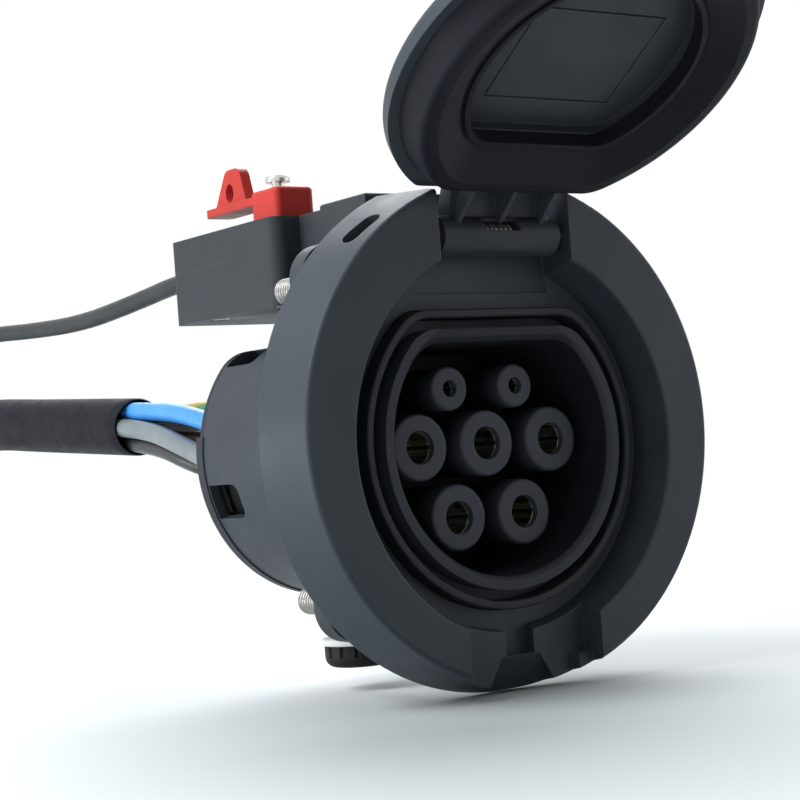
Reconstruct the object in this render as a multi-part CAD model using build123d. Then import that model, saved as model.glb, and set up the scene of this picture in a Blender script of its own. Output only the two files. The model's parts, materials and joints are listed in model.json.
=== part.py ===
from build123d import *
import os
from math import atan, atan2, cos, degrees, hypot, pi, radians, sin, sqrt, tan

# Panel-mounted charging socket, millimetres.
# +Z is up, -Y is the side where the plug goes in, +X is to the right seen from the front.
# The origin is the centre of the flange's rear face, where the socket seats on its panel.

# Fits
RUN_FIT = 0.08          # radial gap of a turning or sliding fit
PART_FIT = 0.15         # gap between fixed moulded pieces
SCREW_FIT = 0.05        # radial gap of a screw or stud in its hole
DRIVE_W = 0.6           # width of a screw head's cross recess

# Flange, gasket and mounting studs
FLANGE_SIDE = 70.0
FLANGE_T = 4.0
FLANGE_CORNER_R = 6.5
GASKET_T = 1.5
GASKET_INSET = 2.5
STUD_SPACING = 56.0
STUD_R = 2.5
STUD_BEHIND = 12.8      # length of the studs behind the flange
STUD_BOSS_R = 4.6
STUD_COVER = 3.0        # bezel plastic in front of a stud
STUD_SHANK_R = 2.7      # its thicker shank, from inside the bezel to the flange's rear face
FLANGE_SCREW_R = 1.5
FLANGE_SCREW_X = 31.4
FLANGE_SCREW_Z = 11.5
FLANGE_SCREW_HEAD_R = 2.5
FLANGE_SCREW_HEAD_T = 1.8
FLANGE_SCREW_DEEP = 3.4  # screw in the bezel

# Front bezel
BEZEL_FRONT_R = 45.0
BEZEL_BACK_R = 47.0
BEZEL_DEPTH = 12.2
BEZEL_FACE_T = 2.6
BEZEL_WALL = 2.4
BEZEL_TOP_Z = 43.0      # flat on top of the bezel
BEZEL_EDGE_R = 0.9
BOWL_MOUTH_R = 35.3
BOWL_FLOOR_R = 33.4
BOWL_DEPTH = 8.0
BOWL_WALL = 2.0
SIDE_SLOT_ANGLE = 127.6
SIDE_SLOT_LENGTH = 8.2
SIDE_SLOT_WIDTH = 3.6
SIDE_SLOT_BACK = 4.9    # centre of the slot behind the front face
SIDE_SLOT_DEEP = 5.6

# Plug well: concentric D outlines round the contacts, flat side up
INSERT_Z = -2.0
D_FLAT_DROP = 6.0       # a D's flat lies this far inside its circle
D_CORNER_R = 8.0
SEAL_R = 30.0
SEAL_T = 1.5
SEAL_FRONT = 4.8        # behind the bezel's front face
SEAL_SEAT = 10.2
RING_R = 26.5
RING_T = 2.4
RING_FRONT = 4.25
RING_BEVEL = 0.9
GROOVE_FLOOR = 8.8
WELL_DEPTH = 33.7       # from the bezel's front face to the well's floor
CARRIER_PLUG_T = 5.0

# Contacts
CONTACT_PITCH = 15.0
ROW_DROP = 13.0
SIGNAL_RISE = 10.2
TUBE_FRONT = 10.2
POWER_TUBE_R = 6.0
POWER_HOLE_R = 3.05
POWER_SLEEVE_R = 4.2
POWER_BARREL_R = 3.2
POWER_SLIT = 0.7        # width of the slits that let the sleeve spring
SIGNAL_TUBE_R = 4.0
SIGNAL_HOLE_R = 1.55
SIGNAL_SLEEVE_R = 2.5
SIGNAL_BARREL_R = 1.8
SIGNAL_SLIT = 0.4
TUBE_LIP_T = 1.5
CONTACT_GRIP = 16.0      # length of a sleeve's slits
CONTACT_BORE = 19.0
BARREL_LENGTH = 9.0
BARREL_FLOOR = 2.0      # metal in front of the wire
CARRIER_DISC_T = 4.5
RETAINER_T = 3.0
RETAINER_SCREW_R = 1.25
RETAINER_SCREW_HEAD_R = 2.3
RETAINER_SCREW_HEAD_T = 1.5
RETAINER_SCREW_DEEP = 3.8

# Rear body and its cap
BODY_Z = -1.0
BODY_R = 28.5
BODY_FLAT_DROP = 7.4    # the body's flat top lies this far inside its circle
BODY_CORNER_R = 9.0
BODY_WALL = 2.4
BODY_BEHIND = 45.8
WINDOW_HIGH = 46.0      # degrees of the upper windows above the body's axis
WINDOW_LOW = 17.3       # degrees of the lower ones below it
WINDOW_WIDTH = 7.0
WINDOW_LENGTH = 10.4
WINDOW_END = 0.4        # body left behind a window
CAP_PLATE_T = 1.5
CAP_LIP_T = 1.5
CAP_LOW_LIP_R = 28.8
CAP_LOW_LIP_T = 2.4
CAP_LOW_LIP_TOP = 4.5   # top of the thick lip above the body's axis
CAP_WALL = 1.8
CAP_NOSE = 0.6
CAP_HOLE_W = 40.0
CAP_HOLE_H = 33.0

# Drain
DRAIN_X = -9.0
DRAIN_Y = 25.3
DRAIN_R = 5.0
DRAIN_BORE_R = 3.0
DRAIN_END_Z = -41.2
DRAIN_CHANNEL_W = 5.0
DRAIN_CHANNEL_H = 3.6
DRAIN_CAP_R = 6.8
DRAIN_CAP_T = 1.2
DRAIN_CAP_H = 4.2
DRAIN_CAP_EDGE_R = 2.0
DRAIN_CAP_FLUTES = 14
DRAIN_CAP_FLUTE_R = 0.5
DRAIN_RING_R = 7.3
DRAIN_RING_T = 1.3

# Lid, drawn shut and then swung open about its hinge
LID_OPEN = 124.0
HINGE_BACK = 4.2        # behind the bezel's front face
HINGE_Z = 34.9
LID_GAP = 0.3           # shut lid to the ring
LID_R = 35.1
LID_T = 3.6
LID_FLAT = 30.4
LID_EDGE_R = 1.8
LID_PLUG_H = 5.5
LID_PLUG_R = 33.0
LID_PLUG_TAPER = 2.0
LID_PLUG_FLAT = 28.2
LID_PLUG_EDGE_R = 1.6
LID_DISH_R = 28.4
LID_DISH_DEPTH = 3.2
LID_MOUTH_R = 21.5
LID_LIP_T = 1.0
LID_LIP_H = 0.7
LID_FLOOR = 7.3         # floor of the lid's recess behind the plug's rim
LABEL_W = 27.8
LABEL_H = 20.4
LABEL_LINE = 0.4
KNUCKLE_R = 3.6
HINGE_HALF = 13.0
ARM_HALF = 10.6
NOTCH_HALF = 14.8
NOTCH_DEPTH = 8.5
PIN_R = 1.5
PIN_HALF = 17.6
SPRING_WIRE_R = 0.4
SPRING_R = 2.1
SPRING_PITCH = 1.05
SPRING_TURNS = 6
SPRING_ROOM = 0.25
RIB_X = 9.3
RIB_T = 0.8

# Latch notch at the bottom of the bezel
LATCH_HALF = 15.0
LATCH_DEPTH = 5.2
LATCH_STEP_DEPTH = 3.0
LATCH_STEP_W = 3.2
LATCH_GROOVE_HALF = 3.2
LATCH_GROOVE_LOW = -40.2
LATCH_GROOVE_DEPTH = 2.6
SCOOP_TOP_HALF = 4.2
SCOOP_LOW_HALF = 9.0
SCOOP_DEPTH = 3.2
LATCH_TAB_HALF = 11.0
LATCH_GAP = 0.4

# Lock case over the rear body
CASE_LEFT = -22.0
CASE_RIGHT = 14.0
CASE_FRONT = 24.6
CASE_LENGTH = 40.8
CASE_STAND = 6.9        # case above the rear body's flat top
CASE_LOWER_H = 10.5
CASE_UPPER_H = 6.5
CASE_WALL = 1.8
CASE_EDGE_R = 2.6
NOSE_LEFT = -16.0
NOSE_FRONT = 2.3
NOSE_LENGTH = 15.0
NOSE_RISE = 1.0
PAD_HALF = 9.0
PAD_BACK_GAP = 1.0
CASE_POST_R = 2.4
CASE_SCREW_R = 1.1
CASE_SCREW_HEAD_R = 1.9
CASE_SCREW_HEAD_T = 1.5
FIXING_R = 1.25
FIXING_REACH = 4.4
FIXING_HEAD_R = 2.3
CABLE_X = -15.5
CABLE_UP = 10.0         # lock cable above the case's bottom

# Lock works
LOCK_TRAVEL = 6.0
LOCK_Y = 11.6
LOCK_PIN_R = 2.5
LOCK_TIP_ABOVE = 1.2    # drawn-back tip above the well's ceiling
CROSS_R = 1.1
SLIDE_UP = 8.0          # slide's centre above the case's bottom
SLIDE_HALF_W = 3.0
SLIDE_FRONT = 22.0
SLIDE_BACK = 40.0
SLIDE_H = 4.0
SLOT_PLATE_T = 2.4
LEVER_X = -13.5
LEVER_Y = 35.2
LEVER_TURN = 60.0
SHAFT_R = 2.5
CRANK_PIN_R = 1.4
CRANK_SLOT_GAP = 0.15
COIL_LENGTH = 13.0
COIL_R = 4.6
PLUNGER_R = 3.0
FRAME_T = 1.2

# Release lever
LEVER_CLEAR = 0.7
LEVER_HUB_H = 6.0
LEVER_HUB_LEFT = 3.9
LEVER_HUB_RIGHT = 4.9
LEVER_HUB_FRONT = 5.3
LEVER_HUB_BACK = 4.6
LEVER_ARM_T = 1.6
LEVER_ARM_W = 6.4
LEVER_ARM_RISE = 3.4
LEVER_ARM_REACH = 22.6
FLAG_T = 2.2
FLAG_START = 9.5
FLAG_END = 22.2
FLAG_H = 7.9
LEVER_SCREW_R = 1.25
LEVER_SCREW_HEAD_R = 2.4
LEVER_SCREW_HEAD_T = 1.5
LEVER_SCREW_PROUD = 1.4
LEVER_SCREW_DEEP = 5.8

# Cables
SHEATH_D = 13.1
WIRE_D = 4.2
SIGNAL_WIRE_D = 1.8
LOCK_CABLE_D = 3.8
SHEATH_MOUTH_R = 6.0
SHEATH_MOUTH_DEEP = 4.0
LAY_R = 3.75            # circle on which the power wires lie inside the sheath
SIGNAL_LAY_R = 5.1
TAIL_LENGTH = 26.0
TAIL_FAN = 1.8
TAIL_SWAY = 0.8
COPPER_LENGTH = 7.0

# Stations, worked out from the sizes above
flange_front = -FLANGE_T
bezel_back = flange_front - GASKET_T
bezel_front = bezel_back - BEZEL_DEPTH
bowl_floor = bezel_front + BOWL_DEPTH
well_floor = bezel_front + WELL_DEPTH
carrier_seat = well_floor + CARRIER_PLUG_T
carrier_back = carrier_seat + CARRIER_DISC_T
retainer_back = carrier_back + RETAINER_T
tube_front = bezel_front + TUBE_FRONT
body_back = BODY_BEHIND
hinge_y = bezel_front + HINGE_BACK
rim_y = bezel_front + RING_FRONT - LID_GAP
barrel_back = retainer_back + BARREL_LENGTH
contact_front = tube_front + TUBE_LIP_T + 0.1
body_top = BODY_Z + BODY_R - BODY_FLAT_DROP
case_bottom = body_top + CASE_STAND
case_seam = case_bottom + CASE_LOWER_H
case_top = case_seam + CASE_UPPER_H
case_back = CASE_FRONT + CASE_LENGTH
slide_z = case_bottom + SLIDE_UP
cable_z = case_bottom + CABLE_UP
lever_z0 = case_top + LEVER_CLEAR
lever_z1 = lever_z0 + LEVER_HUB_H

power_spots = [(-CONTACT_PITCH, 0), (0, 0), (CONTACT_PITCH, 0),
               (-CONTACT_PITCH / 2, -ROW_DROP), (CONTACT_PITCH / 2, -ROW_DROP)]
signal_spots = [(-CONTACT_PITCH / 2, SIGNAL_RISE), (CONTACT_PITCH / 2, SIGNAL_RISE)]
stud_spots = [(sx * STUD_SPACING / 2, sz * STUD_SPACING / 2) for sx in (-1, 1) for sz in (-1, 1)]
flange_screw_spots = [(sx * FLANGE_SCREW_X, sz * FLANGE_SCREW_Z) for sx in (-1, 1) for sz in (-1, 1)]


def facing(y):
    """Sketch plane at station y, seen from the front: local x is X, local y is Z."""
    return Plane(origin=(0, y, 0), x_dir=(1, 0, 0), z_dir=(0, -1, 0))


def slab(shape, y0, y1):
    """The sketch as a solid between stations y0 and y1."""
    return extrude(facing(y1) * shape, amount=y1 - y0)


def rod_y(radius, y0, y1, x=0.0, z=0.0):
    return Pos(x, (y0 + y1) / 2, z) * Rot(90, 0, 0) * Cylinder(radius, y1 - y0)


def rod_x(radius, x0, x1, y=0.0, z=0.0):
    return Pos((x0 + x1) / 2, y, z) * Rot(0, 90, 0) * Cylinder(radius, x1 - x0)


def rod_z(radius, z0, z1, x=0.0, y=0.0):
    return Pos(x, y, (z0 + z1) / 2) * Cylinder(radius, z1 - z0)


def cone_y(r0, r1, y0, y1, z=0.0):
    """Cone of radius r0 at station y0 and r1 at y1."""
    return Pos(0, (y0 + y1) / 2, z) * Rot(-90, 0, 0) * Cone(r0, r1, y1 - y0)


def block(x0, x1, y0, y1, z0, z1):
    return Pos((x0 + x1) / 2, (y0 + y1) / 2, (z0 + z1) / 2) * Box(x1 - x0, y1 - y0, z1 - z0)


def side_plate(points, x0, x1):
    """Outline of (y, z) points as a plate between x0 and x1."""
    plane = Plane(origin=(x0, 0, 0), x_dir=(0, 1, 0), z_dir=(1, 0, 0))
    return extrude(plane * make_face(Polyline(*points, close=True)), amount=x1 - x0)


def d_face(radius, flat=None, corner=D_CORNER_R, z=INSERT_Z):
    """D outline, about the contacts' centre unless z says otherwise: a circle with a flat top."""
    flat = radius - D_FLAT_DROP if flat is None else flat
    half = sqrt(radius ** 2 - flat ** 2)
    arc = ThreePointArc((-half, flat), (0, -radius), (half, flat))
    face = make_face([arc, Line((half, flat), (-half, flat))])
    face = fillet(face.vertices(), corner)
    return Pos(0, z) * face


def body_face(inset=0.0):
    """Outline of the rear body, or of what fits inside it."""
    radius = BODY_R - inset
    return d_face(radius, radius - BODY_FLAT_DROP, BODY_CORNER_R - inset, BODY_Z)


def polar(radius, angle):
    return radius * cos(radians(angle)), radius * sin(radians(angle))


def save(shape, name):
    shape.label = name
    export_step(shape, f"parts/{name}.step")


def group(solids):
    return Compound(children=list(solids))


# Front bezel

def make_bezel():
    body = cone_y(BEZEL_FRONT_R, BEZEL_BACK_R, bezel_front, bezel_back)
    body -= block(-60, 60, bezel_front - 1, bezel_back + 1, BEZEL_TOP_Z, 60)
    rim = [e for e in body.edges().filter_by_position(Axis.Y, bezel_front - 0.01, bezel_front + 0.01)]
    body = fillet(rim, BEZEL_EDGE_R)
    bowl = cone_y(BOWL_MOUTH_R, BOWL_FLOOR_R, bezel_front, bowl_floor, INSERT_Z)
    body -= bowl
    mouth = body.edges().filter_by_position(Axis.Y, bezel_front - 0.01, bezel_front + 0.01)
    mouth = [e for e in mouth.filter_by(GeomType.CIRCLE) if abs(e.radius - BOWL_MOUTH_R) < 0.01]
    body = fillet(mouth, 0.5)

    # Hollow back, left solid round the hinge, the latch and the studs
    outer = cone_y(BEZEL_FRONT_R - BEZEL_WALL, BEZEL_BACK_R - BEZEL_WALL,
                   bezel_front + BEZEL_FACE_T, bezel_back)
    inner = rod_y(BOWL_MOUTH_R + BOWL_WALL, bezel_front, bezel_back + 1, z=INSERT_Z)
    hollow = outer - inner
    hollow -= block(-NOTCH_HALF - 4, NOTCH_HALF + 4, bezel_front, bezel_back + 1, 20, 60)
    hollow -= block(-LATCH_HALF - 3, LATCH_HALF + 3, bezel_front, bezel_back + 1, -60, -20)
    for x, z in stud_spots:
        hollow -= rod_y(STUD_BOSS_R, bezel_front, bezel_back + 1, x, z)
    body -= hollow

    body -= slab(d_face(SEAL_R + PART_FIT), bowl_floor - 1, bezel_back + 1)
    for x, z in stud_spots:
        body -= rod_y(STUD_SHANK_R + SCREW_FIT, bezel_front + STUD_COVER, bezel_back + 1, x, z)
    screw_end = bezel_back - FLANGE_SCREW_DEEP
    for x, z in flange_screw_spots:
        body -= rod_y(FLANGE_SCREW_R + SCREW_FIT, screw_end - 0.2, bezel_back + 1, x, z)

    # Long hole in the side wall, over one stud
    slot = SlotCenterToCenter(SIDE_SLOT_LENGTH - SIDE_SLOT_WIDTH, SIDE_SLOT_WIDTH)
    slot_r = BEZEL_FRONT_R + BEZEL_WALL
    sx, sz = polar(slot_r, SIDE_SLOT_ANGLE)
    ux, uz = polar(1, SIDE_SLOT_ANGLE)
    slot_plane = Plane(origin=(sx, bezel_front + SIDE_SLOT_BACK, sz),
                       x_dir=(uz, -0.14, -ux), z_dir=(-ux, 0, -uz))
    body -= extrude(slot_plane * slot, amount=BEZEL_WALL + SIDE_SLOT_DEEP)

    # Hinge notch, open to the front, the top and the bowl
    body -= block(-NOTCH_HALF, NOTCH_HALF, bezel_front - 1, bezel_front + NOTCH_DEPTH, 25, 60)
    body -= rod_x(PIN_R + SCREW_FIT, -PIN_HALF - 0.1, PIN_HALF + 0.1, hinge_y, HINGE_Z)

    # Latch notch: a shelf with higher steps at its ends, a middle groove and a finger scoop
    floor_y = bezel_front + LATCH_DEPTH
    shelf = block(-LATCH_HALF, LATCH_HALF, bezel_front - 1, floor_y, -60, -30)
    steps = block(-60, -LATCH_HALF + LATCH_STEP_W, bezel_front + LATCH_STEP_DEPTH, 0, -60, -41.3)
    steps += block(LATCH_HALF - LATCH_STEP_W, 60, bezel_front + LATCH_STEP_DEPTH, 0, -60, -41.3)
    body -= shelf - steps
    body -= block(-LATCH_GROOVE_HALF, LATCH_GROOVE_HALF, bezel_front, floor_y + LATCH_GROOVE_DEPTH,
                  LATCH_GROOVE_LOW, -25)
    fan = make_face(Polyline((-SCOOP_TOP_HALF, LATCH_GROOVE_LOW), (SCOOP_TOP_HALF, LATCH_GROOVE_LOW),
                             (SCOOP_LOW_HALF, -48), (-SCOOP_LOW_HALF, -48), close=True))
    scoop = slab(fan, bezel_front, bezel_back)
    scoop &= side_plate([(bezel_front, LATCH_GROOVE_LOW), (floor_y, LATCH_GROOVE_LOW),
                         (floor_y + SCOOP_DEPTH, -46.5), (bezel_front, -46.5)],
                        -SCOOP_LOW_HALF - 1, SCOOP_LOW_HALF + 1)
    body -= scoop
    return body


def flange_face(side, corner):
    return RectangleRounded(side, side, corner)


def make_studs():
    y0 = bezel_front + STUD_COVER
    studs = []
    for x, z in stud_spots:
        rod = rod_y(STUD_R, 0, STUD_BEHIND, x, z)
        end = rod.edges().filter_by_position(Axis.Y, STUD_BEHIND - 0.01, STUD_BEHIND + 0.01)
        studs.append(rod_y(STUD_SHANK_R, y0, 0, x, z) + chamfer(end, 0.5))
    return group(studs)


def make_gasket():
    inset = GASKET_INSET
    ring = slab(flange_face(FLANGE_SIDE - 2 * inset, FLANGE_CORNER_R - inset / 2),
                bezel_back, flange_front)
    ring -= slab(d_face(SEAL_R + 0.6), bezel_back - 1, flange_front + 1)
    for x, z in stud_spots:
        ring -= rod_y(STUD_SHANK_R + SCREW_FIT, bezel_back - 1, flange_front + 1, x, z)
    for x, z in flange_screw_spots:
        ring -= rod_y(FLANGE_SCREW_R + 0.2, bezel_back - 1, flange_front + 1, x, z)
    return ring


def make_flange_screws():
    """Screws that hold the flange to the bezel, their heads sunk below the flange's rear face."""
    top = -0.2
    low = top - FLANGE_SCREW_HEAD_T
    screws = []
    for x, z in flange_screw_spots:
        shank = rod_y(FLANGE_SCREW_R, bezel_back - FLANGE_SCREW_DEEP, low + 0.2, x, z)
        head = rod_y(FLANGE_SCREW_HEAD_R, low, top, x, z)
        head = fillet(head.edges().filter_by_position(Axis.Y, top - 0.01, top + 0.01), 0.6)
        screws.append(shank + head - cross_y(x, z, top - 0.9, top + 1, 1.5))
    return group(screws)


def cross_y(x, z, y0, y1, half):
    """Driver's cross recess in a screw head that faces along Y."""
    across = block(x - half, x + half, y0, y1, z - DRIVE_W / 2, z + DRIVE_W / 2)
    return across + block(x - DRIVE_W / 2, x + DRIVE_W / 2, y0, y1, z - half, z + half)


def cross_z(x, y, z0, z1, half):
    """Driver's cross recess in a screw head that faces along Z."""
    across = block(x - half, x + half, y - DRIVE_W / 2, y + DRIVE_W / 2, z0, z1)
    return across + block(x - DRIVE_W / 2, x + DRIVE_W / 2, y - half, y + half, z0, z1)


# Housing: flange, plug well and rear body in one moulding

def make_housing():
    body = slab(flange_face(FLANGE_SIDE, FLANGE_CORNER_R), flange_front, 0)
    seat = bezel_front + SEAL_SEAT
    groove = bezel_front + GROOVE_FLOOR
    body += slab(d_face(SEAL_R), seat, flange_front)
    body += slab(d_face(SEAL_R - SEAL_T - PART_FIT), groove, seat)
    ring_front = bezel_front + RING_FRONT
    body += slab(d_face(RING_R), ring_front, groove)
    body += slab(body_face(), flange_front, body_back)
    body += block(-PAD_HALF, PAD_HALF, NOSE_FRONT + 1, body_back - PAD_BACK_GAP, body_top - 1, case_bottom)

    body -= slab(d_face(RING_R - RING_T), ring_front - 1, carrier_seat)
    bevel = extrude(facing(ring_front) * d_face(RING_R - RING_T + RING_BEVEL),
                    amount=-RING_BEVEL, taper=45)
    body -= bevel
    body -= slab(body_face(BODY_WALL), carrier_seat, body_back + 1)
    for x, z in stud_spots:
        body -= rod_y(STUD_SHANK_R + SCREW_FIT, flange_front - 1, 1, x, z)
    for x, z in flange_screw_spots:
        body -= rod_y(FLANGE_SCREW_R + 0.1, flange_front - 1, 1, x, z)
        body -= rod_y(FLANGE_SCREW_HEAD_R + 0.15, -0.2 - FLANGE_SCREW_HEAD_T, 1, x, z)

    # Lock pin hole through the roof of the well
    body -= rod_z(LOCK_PIN_R + RUN_FIT, 0, case_bottom + 1, 0, LOCK_Y)

    fixing_end = case_bottom + CASE_WALL - FIXING_REACH
    for x, y in fixing_spots:
        body -= rod_z(FIXING_R + SCREW_FIT, fixing_end - 0.3, case_bottom + 1, x, y)

    # Snap windows round the rear edge
    y1 = body_back - WINDOW_END
    y0 = y1 - WINDOW_LENGTH
    for angle in window_angles:
        body -= window_cut(angle, y0, y1)

    # Drain spout
    spout = rod_z(DRAIN_R, DRAIN_END_Z, INSERT_Z - 20, DRAIN_X, DRAIN_Y)
    spout -= rod_y(BODY_R - BODY_WALL / 2, 0, body_back, z=BODY_Z)
    body += spout
    body -= rod_z(DRAIN_BORE_R, DRAIN_END_Z - 1, INSERT_Z - 20, DRAIN_X, DRAIN_Y)
    return body


window_angles = [WINDOW_HIGH, 180 - WINDOW_HIGH, 180 + WINDOW_LOW, 270, 360 - WINDOW_LOW]


def window_cut(angle, y0, y1):
    """Radial window with its two front corners rounded."""
    half = WINDOW_WIDTH / 2
    outline = Polyline((y0, -half), (y1, -half), (y1, half), (y0, half), close=True)
    face = make_face(outline)
    front = face.vertices().filter_by_position(Axis.X, y0 - 0.01, y0 + 0.01)
    face = fillet(front, 2.2)
    ux, uz = polar(1, angle)
    start = BODY_R + 1
    plane = Plane(origin=(start * ux, 0, BODY_Z + start * uz), x_dir=(0, 1, 0), z_dir=(-ux, 0, -uz))
    return extrude(plane * face, amount=1 + BODY_WALL + BODY_FLAT_DROP * 0.6)


def make_face_seal():
    y0 = bezel_front + SEAL_FRONT
    y1 = bezel_front + SEAL_SEAT
    ring = slab(d_face(SEAL_R), y0, y1) - slab(d_face(SEAL_R - SEAL_T), y0 - 1, y1 + 1)
    front = ring.edges().filter_by_position(Axis.Y, y0 - 0.01, y0 + 0.01)
    return fillet(front, 0.4)


# Contacts and the block that carries them

contact_sizes = [(power_spots, POWER_TUBE_R, POWER_HOLE_R, POWER_SLEEVE_R),
                 (signal_spots, SIGNAL_TUBE_R, SIGNAL_HOLE_R, SIGNAL_SLEEVE_R)]
screw_circle = BODY_R - BODY_WALL - PART_FIT - CAP_WALL - RETAINER_SCREW_HEAD_R - 0.2
retainer_screw_spots = [(screw_circle * cos(radians(a)), BODY_Z + screw_circle * sin(radians(a)))
                        for a in (23, 157, 270)]


def make_tubes():
    """Insulating tubes that stand in the plug well, one round each contact."""
    tubes = []
    for spots, tube_r, hole_r, sleeve_r in contact_sizes:
        for x, z in spots:
            tube = rod_y(tube_r, tube_front, well_floor, x, INSERT_Z + z)
            front = tube.edges().filter_by_position(Axis.Y, tube_front - 0.01, tube_front + 0.01)
            tube = fillet(front, 0.6)
            tube -= rod_y(hole_r, tube_front - 1, well_floor, x, INSERT_Z + z)
            tube -= rod_y(sleeve_r + SCREW_FIT, tube_front + TUBE_LIP_T, well_floor + 1, x, INSERT_Z + z)
            tubes.append(tube)
    return group(tubes)


def make_carrier():
    body = slab(d_face(RING_R - RING_T - PART_FIT), well_floor, carrier_seat)
    body += slab(body_face(BODY_WALL + PART_FIT), carrier_seat, carrier_back)
    for spots, tube_r, hole_r, sleeve_r in contact_sizes:
        for x, z in spots:
            body -= rod_y(sleeve_r + SCREW_FIT, well_floor - 1, carrier_back + 1, x, INSERT_Z + z)
    screw_end = carrier_back - RETAINER_SCREW_DEEP
    for x, z in retainer_screw_spots:
        body -= rod_y(RETAINER_SCREW_R + SCREW_FIT, screw_end - 0.2, carrier_back + 1, x, z)

    # Channel that lets water out of the well into the drain spout
    channel_top = INSERT_Z - (RING_R - RING_T) + DRAIN_CHANNEL_H
    body -= block(DRAIN_X - DRAIN_CHANNEL_W / 2, DRAIN_X + DRAIN_CHANNEL_W / 2,
                  well_floor - 1, carrier_back + 1, BODY_Z - BODY_R, channel_top)
    return body


def contact(x, z, hole_r, sleeve_r, barrel_r, wire_r, slit_w):
    """Slotted sleeve in front, collar behind it, and a hollow barrel that takes the wire."""
    y0 = contact_front
    z = INSERT_Z + z
    body = rod_y(sleeve_r, y0, carrier_back, x, z)
    body += rod_y(barrel_r, carrier_back, barrel_back, x, z)
    body -= rod_y(hole_r, y0 - 1, y0 + CONTACT_BORE, x, z)
    body -= rod_y(wire_r + SCREW_FIT, retainer_back + BARREL_FLOOR, barrel_back + 1, x, z)
    y1 = y0 + CONTACT_GRIP
    slit = block(x - sleeve_r - 1, x + sleeve_r + 1, y0 - 1, y1, z - slit_w / 2, z + slit_w / 2)
    slit += block(x - slit_w / 2, x + slit_w / 2, y0 - 1, y1, z - sleeve_r - 1, z + sleeve_r + 1)
    return body - slit


def make_power_contacts():
    return group(contact(x, z, POWER_HOLE_R, POWER_SLEEVE_R, POWER_BARREL_R, WIRE_D / 2, POWER_SLIT)
                 for x, z in power_spots)


def make_signal_contacts():
    return group(contact(x, z, SIGNAL_HOLE_R, SIGNAL_SLEEVE_R, SIGNAL_BARREL_R, SIGNAL_WIRE_D / 2,
                         SIGNAL_SLIT) for x, z in signal_spots)


def make_retainer():
    plate = slab(body_face(BODY_WALL + PART_FIT), carrier_back, retainer_back)
    for x, z in power_spots:
        plate -= rod_y(POWER_BARREL_R + PART_FIT, carrier_back - 1, retainer_back + 1, x, INSERT_Z + z)
    for x, z in signal_spots:
        plate -= rod_y(SIGNAL_BARREL_R + PART_FIT, carrier_back - 1, retainer_back + 1, x, INSERT_Z + z)
    for x, z in retainer_screw_spots:
        plate -= rod_y(RETAINER_SCREW_R + 0.15, carrier_back - 1, retainer_back + 1, x, z)
    return plate


def make_retainer_screws():
    top = retainer_back + RETAINER_SCREW_HEAD_T
    screws = []
    for x, z in retainer_screw_spots:
        shank = rod_y(RETAINER_SCREW_R, carrier_back - RETAINER_SCREW_DEEP, retainer_back + 0.2, x, z)
        head = rod_y(RETAINER_SCREW_HEAD_R, retainer_back, top, x, z)
        screws.append(shank + head - cross_y(x, z, top - 0.7, top + 1, 1.3))
    return group(screws)


def make_rear_cap():
    inset = BODY_WALL + PART_FIT
    cap = slab(body_face(inset), retainer_back, body_back)
    cap -= slab(body_face(inset + CAP_WALL), retainer_back - 1, body_back - CAP_PLATE_T)

    # Lip behind the body's edge, thicker and standing out past it on the lower half only
    cap += slab(body_face(), body_back, body_back + CAP_LIP_T)
    low = rod_y(CAP_LOW_LIP_R, body_back, body_back + CAP_LOW_LIP_T, z=BODY_Z)
    cap += low - block(-60, 60, body_back - 1, body_back + CAP_LOW_LIP_T + 1, BODY_Z + CAP_LOW_LIP_TOP, 60)
    hole = Pos(0, INSERT_Z) * SlotOverall(CAP_HOLE_W, CAP_HOLE_H)
    cap -= slab(hole, body_back - CAP_PLATE_T - 1, body_back + CAP_LOW_LIP_T + 1)

    # Noses that snap into the body's lower windows
    y1 = body_back - WINDOW_END - PART_FIT
    nose_r = BODY_R - inset + CAP_NOSE / 2 - 0.4
    for angle in window_angles:
        ux, uz = polar(1, angle)
        if uz < 0:
            plane = Plane(origin=(ux * nose_r, y1 - 1.2, BODY_Z + uz * nose_r),
                          x_dir=(-uz, 0, ux), z_dir=(ux, 0, uz))
            cap += plane * Box(WINDOW_WIDTH - 1.4, 2.4, CAP_NOSE + 0.8)
    return cap


# Drain fittings

def make_drain_cap():
    z0 = DRAIN_END_Z - DRAIN_CAP_T
    cap = rod_z(DRAIN_CAP_R, z0, z0 + DRAIN_CAP_H, DRAIN_X, DRAIN_Y)
    cap = fillet(cap.edges().group_by(Axis.Z)[0], DRAIN_CAP_EDGE_R)
    cap -= rod_z(DRAIN_R + SCREW_FIT, DRAIN_END_Z, z0 + DRAIN_CAP_H + 1, DRAIN_X, DRAIN_Y)
    for i in range(DRAIN_CAP_FLUTES):
        dx, dy = polar(DRAIN_CAP_R + 0.1, i * 360 / DRAIN_CAP_FLUTES)
        cap -= rod_z(DRAIN_CAP_FLUTE_R, z0 + DRAIN_CAP_EDGE_R, z0 + DRAIN_CAP_H + 1,
                     DRAIN_X + dx, DRAIN_Y + dy)
    return cap


def make_drain_ring():
    z0 = DRAIN_END_Z - DRAIN_CAP_T + DRAIN_CAP_H
    ring = rod_z(DRAIN_RING_R, z0, z0 + DRAIN_RING_T, DRAIN_X, DRAIN_Y)
    ring = fillet(ring.edges(), 0.3)
    return ring - rod_z(DRAIN_R + SCREW_FIT, z0 - 1, z0 + DRAIN_RING_T + 1, DRAIN_X, DRAIN_Y)


# Lid

def swing_open(shape):
    hinge = Pos(0, hinge_y, HINGE_Z)
    return hinge * Rot(-LID_OPEN, 0, 0) * hinge.inverse() * shape


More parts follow.
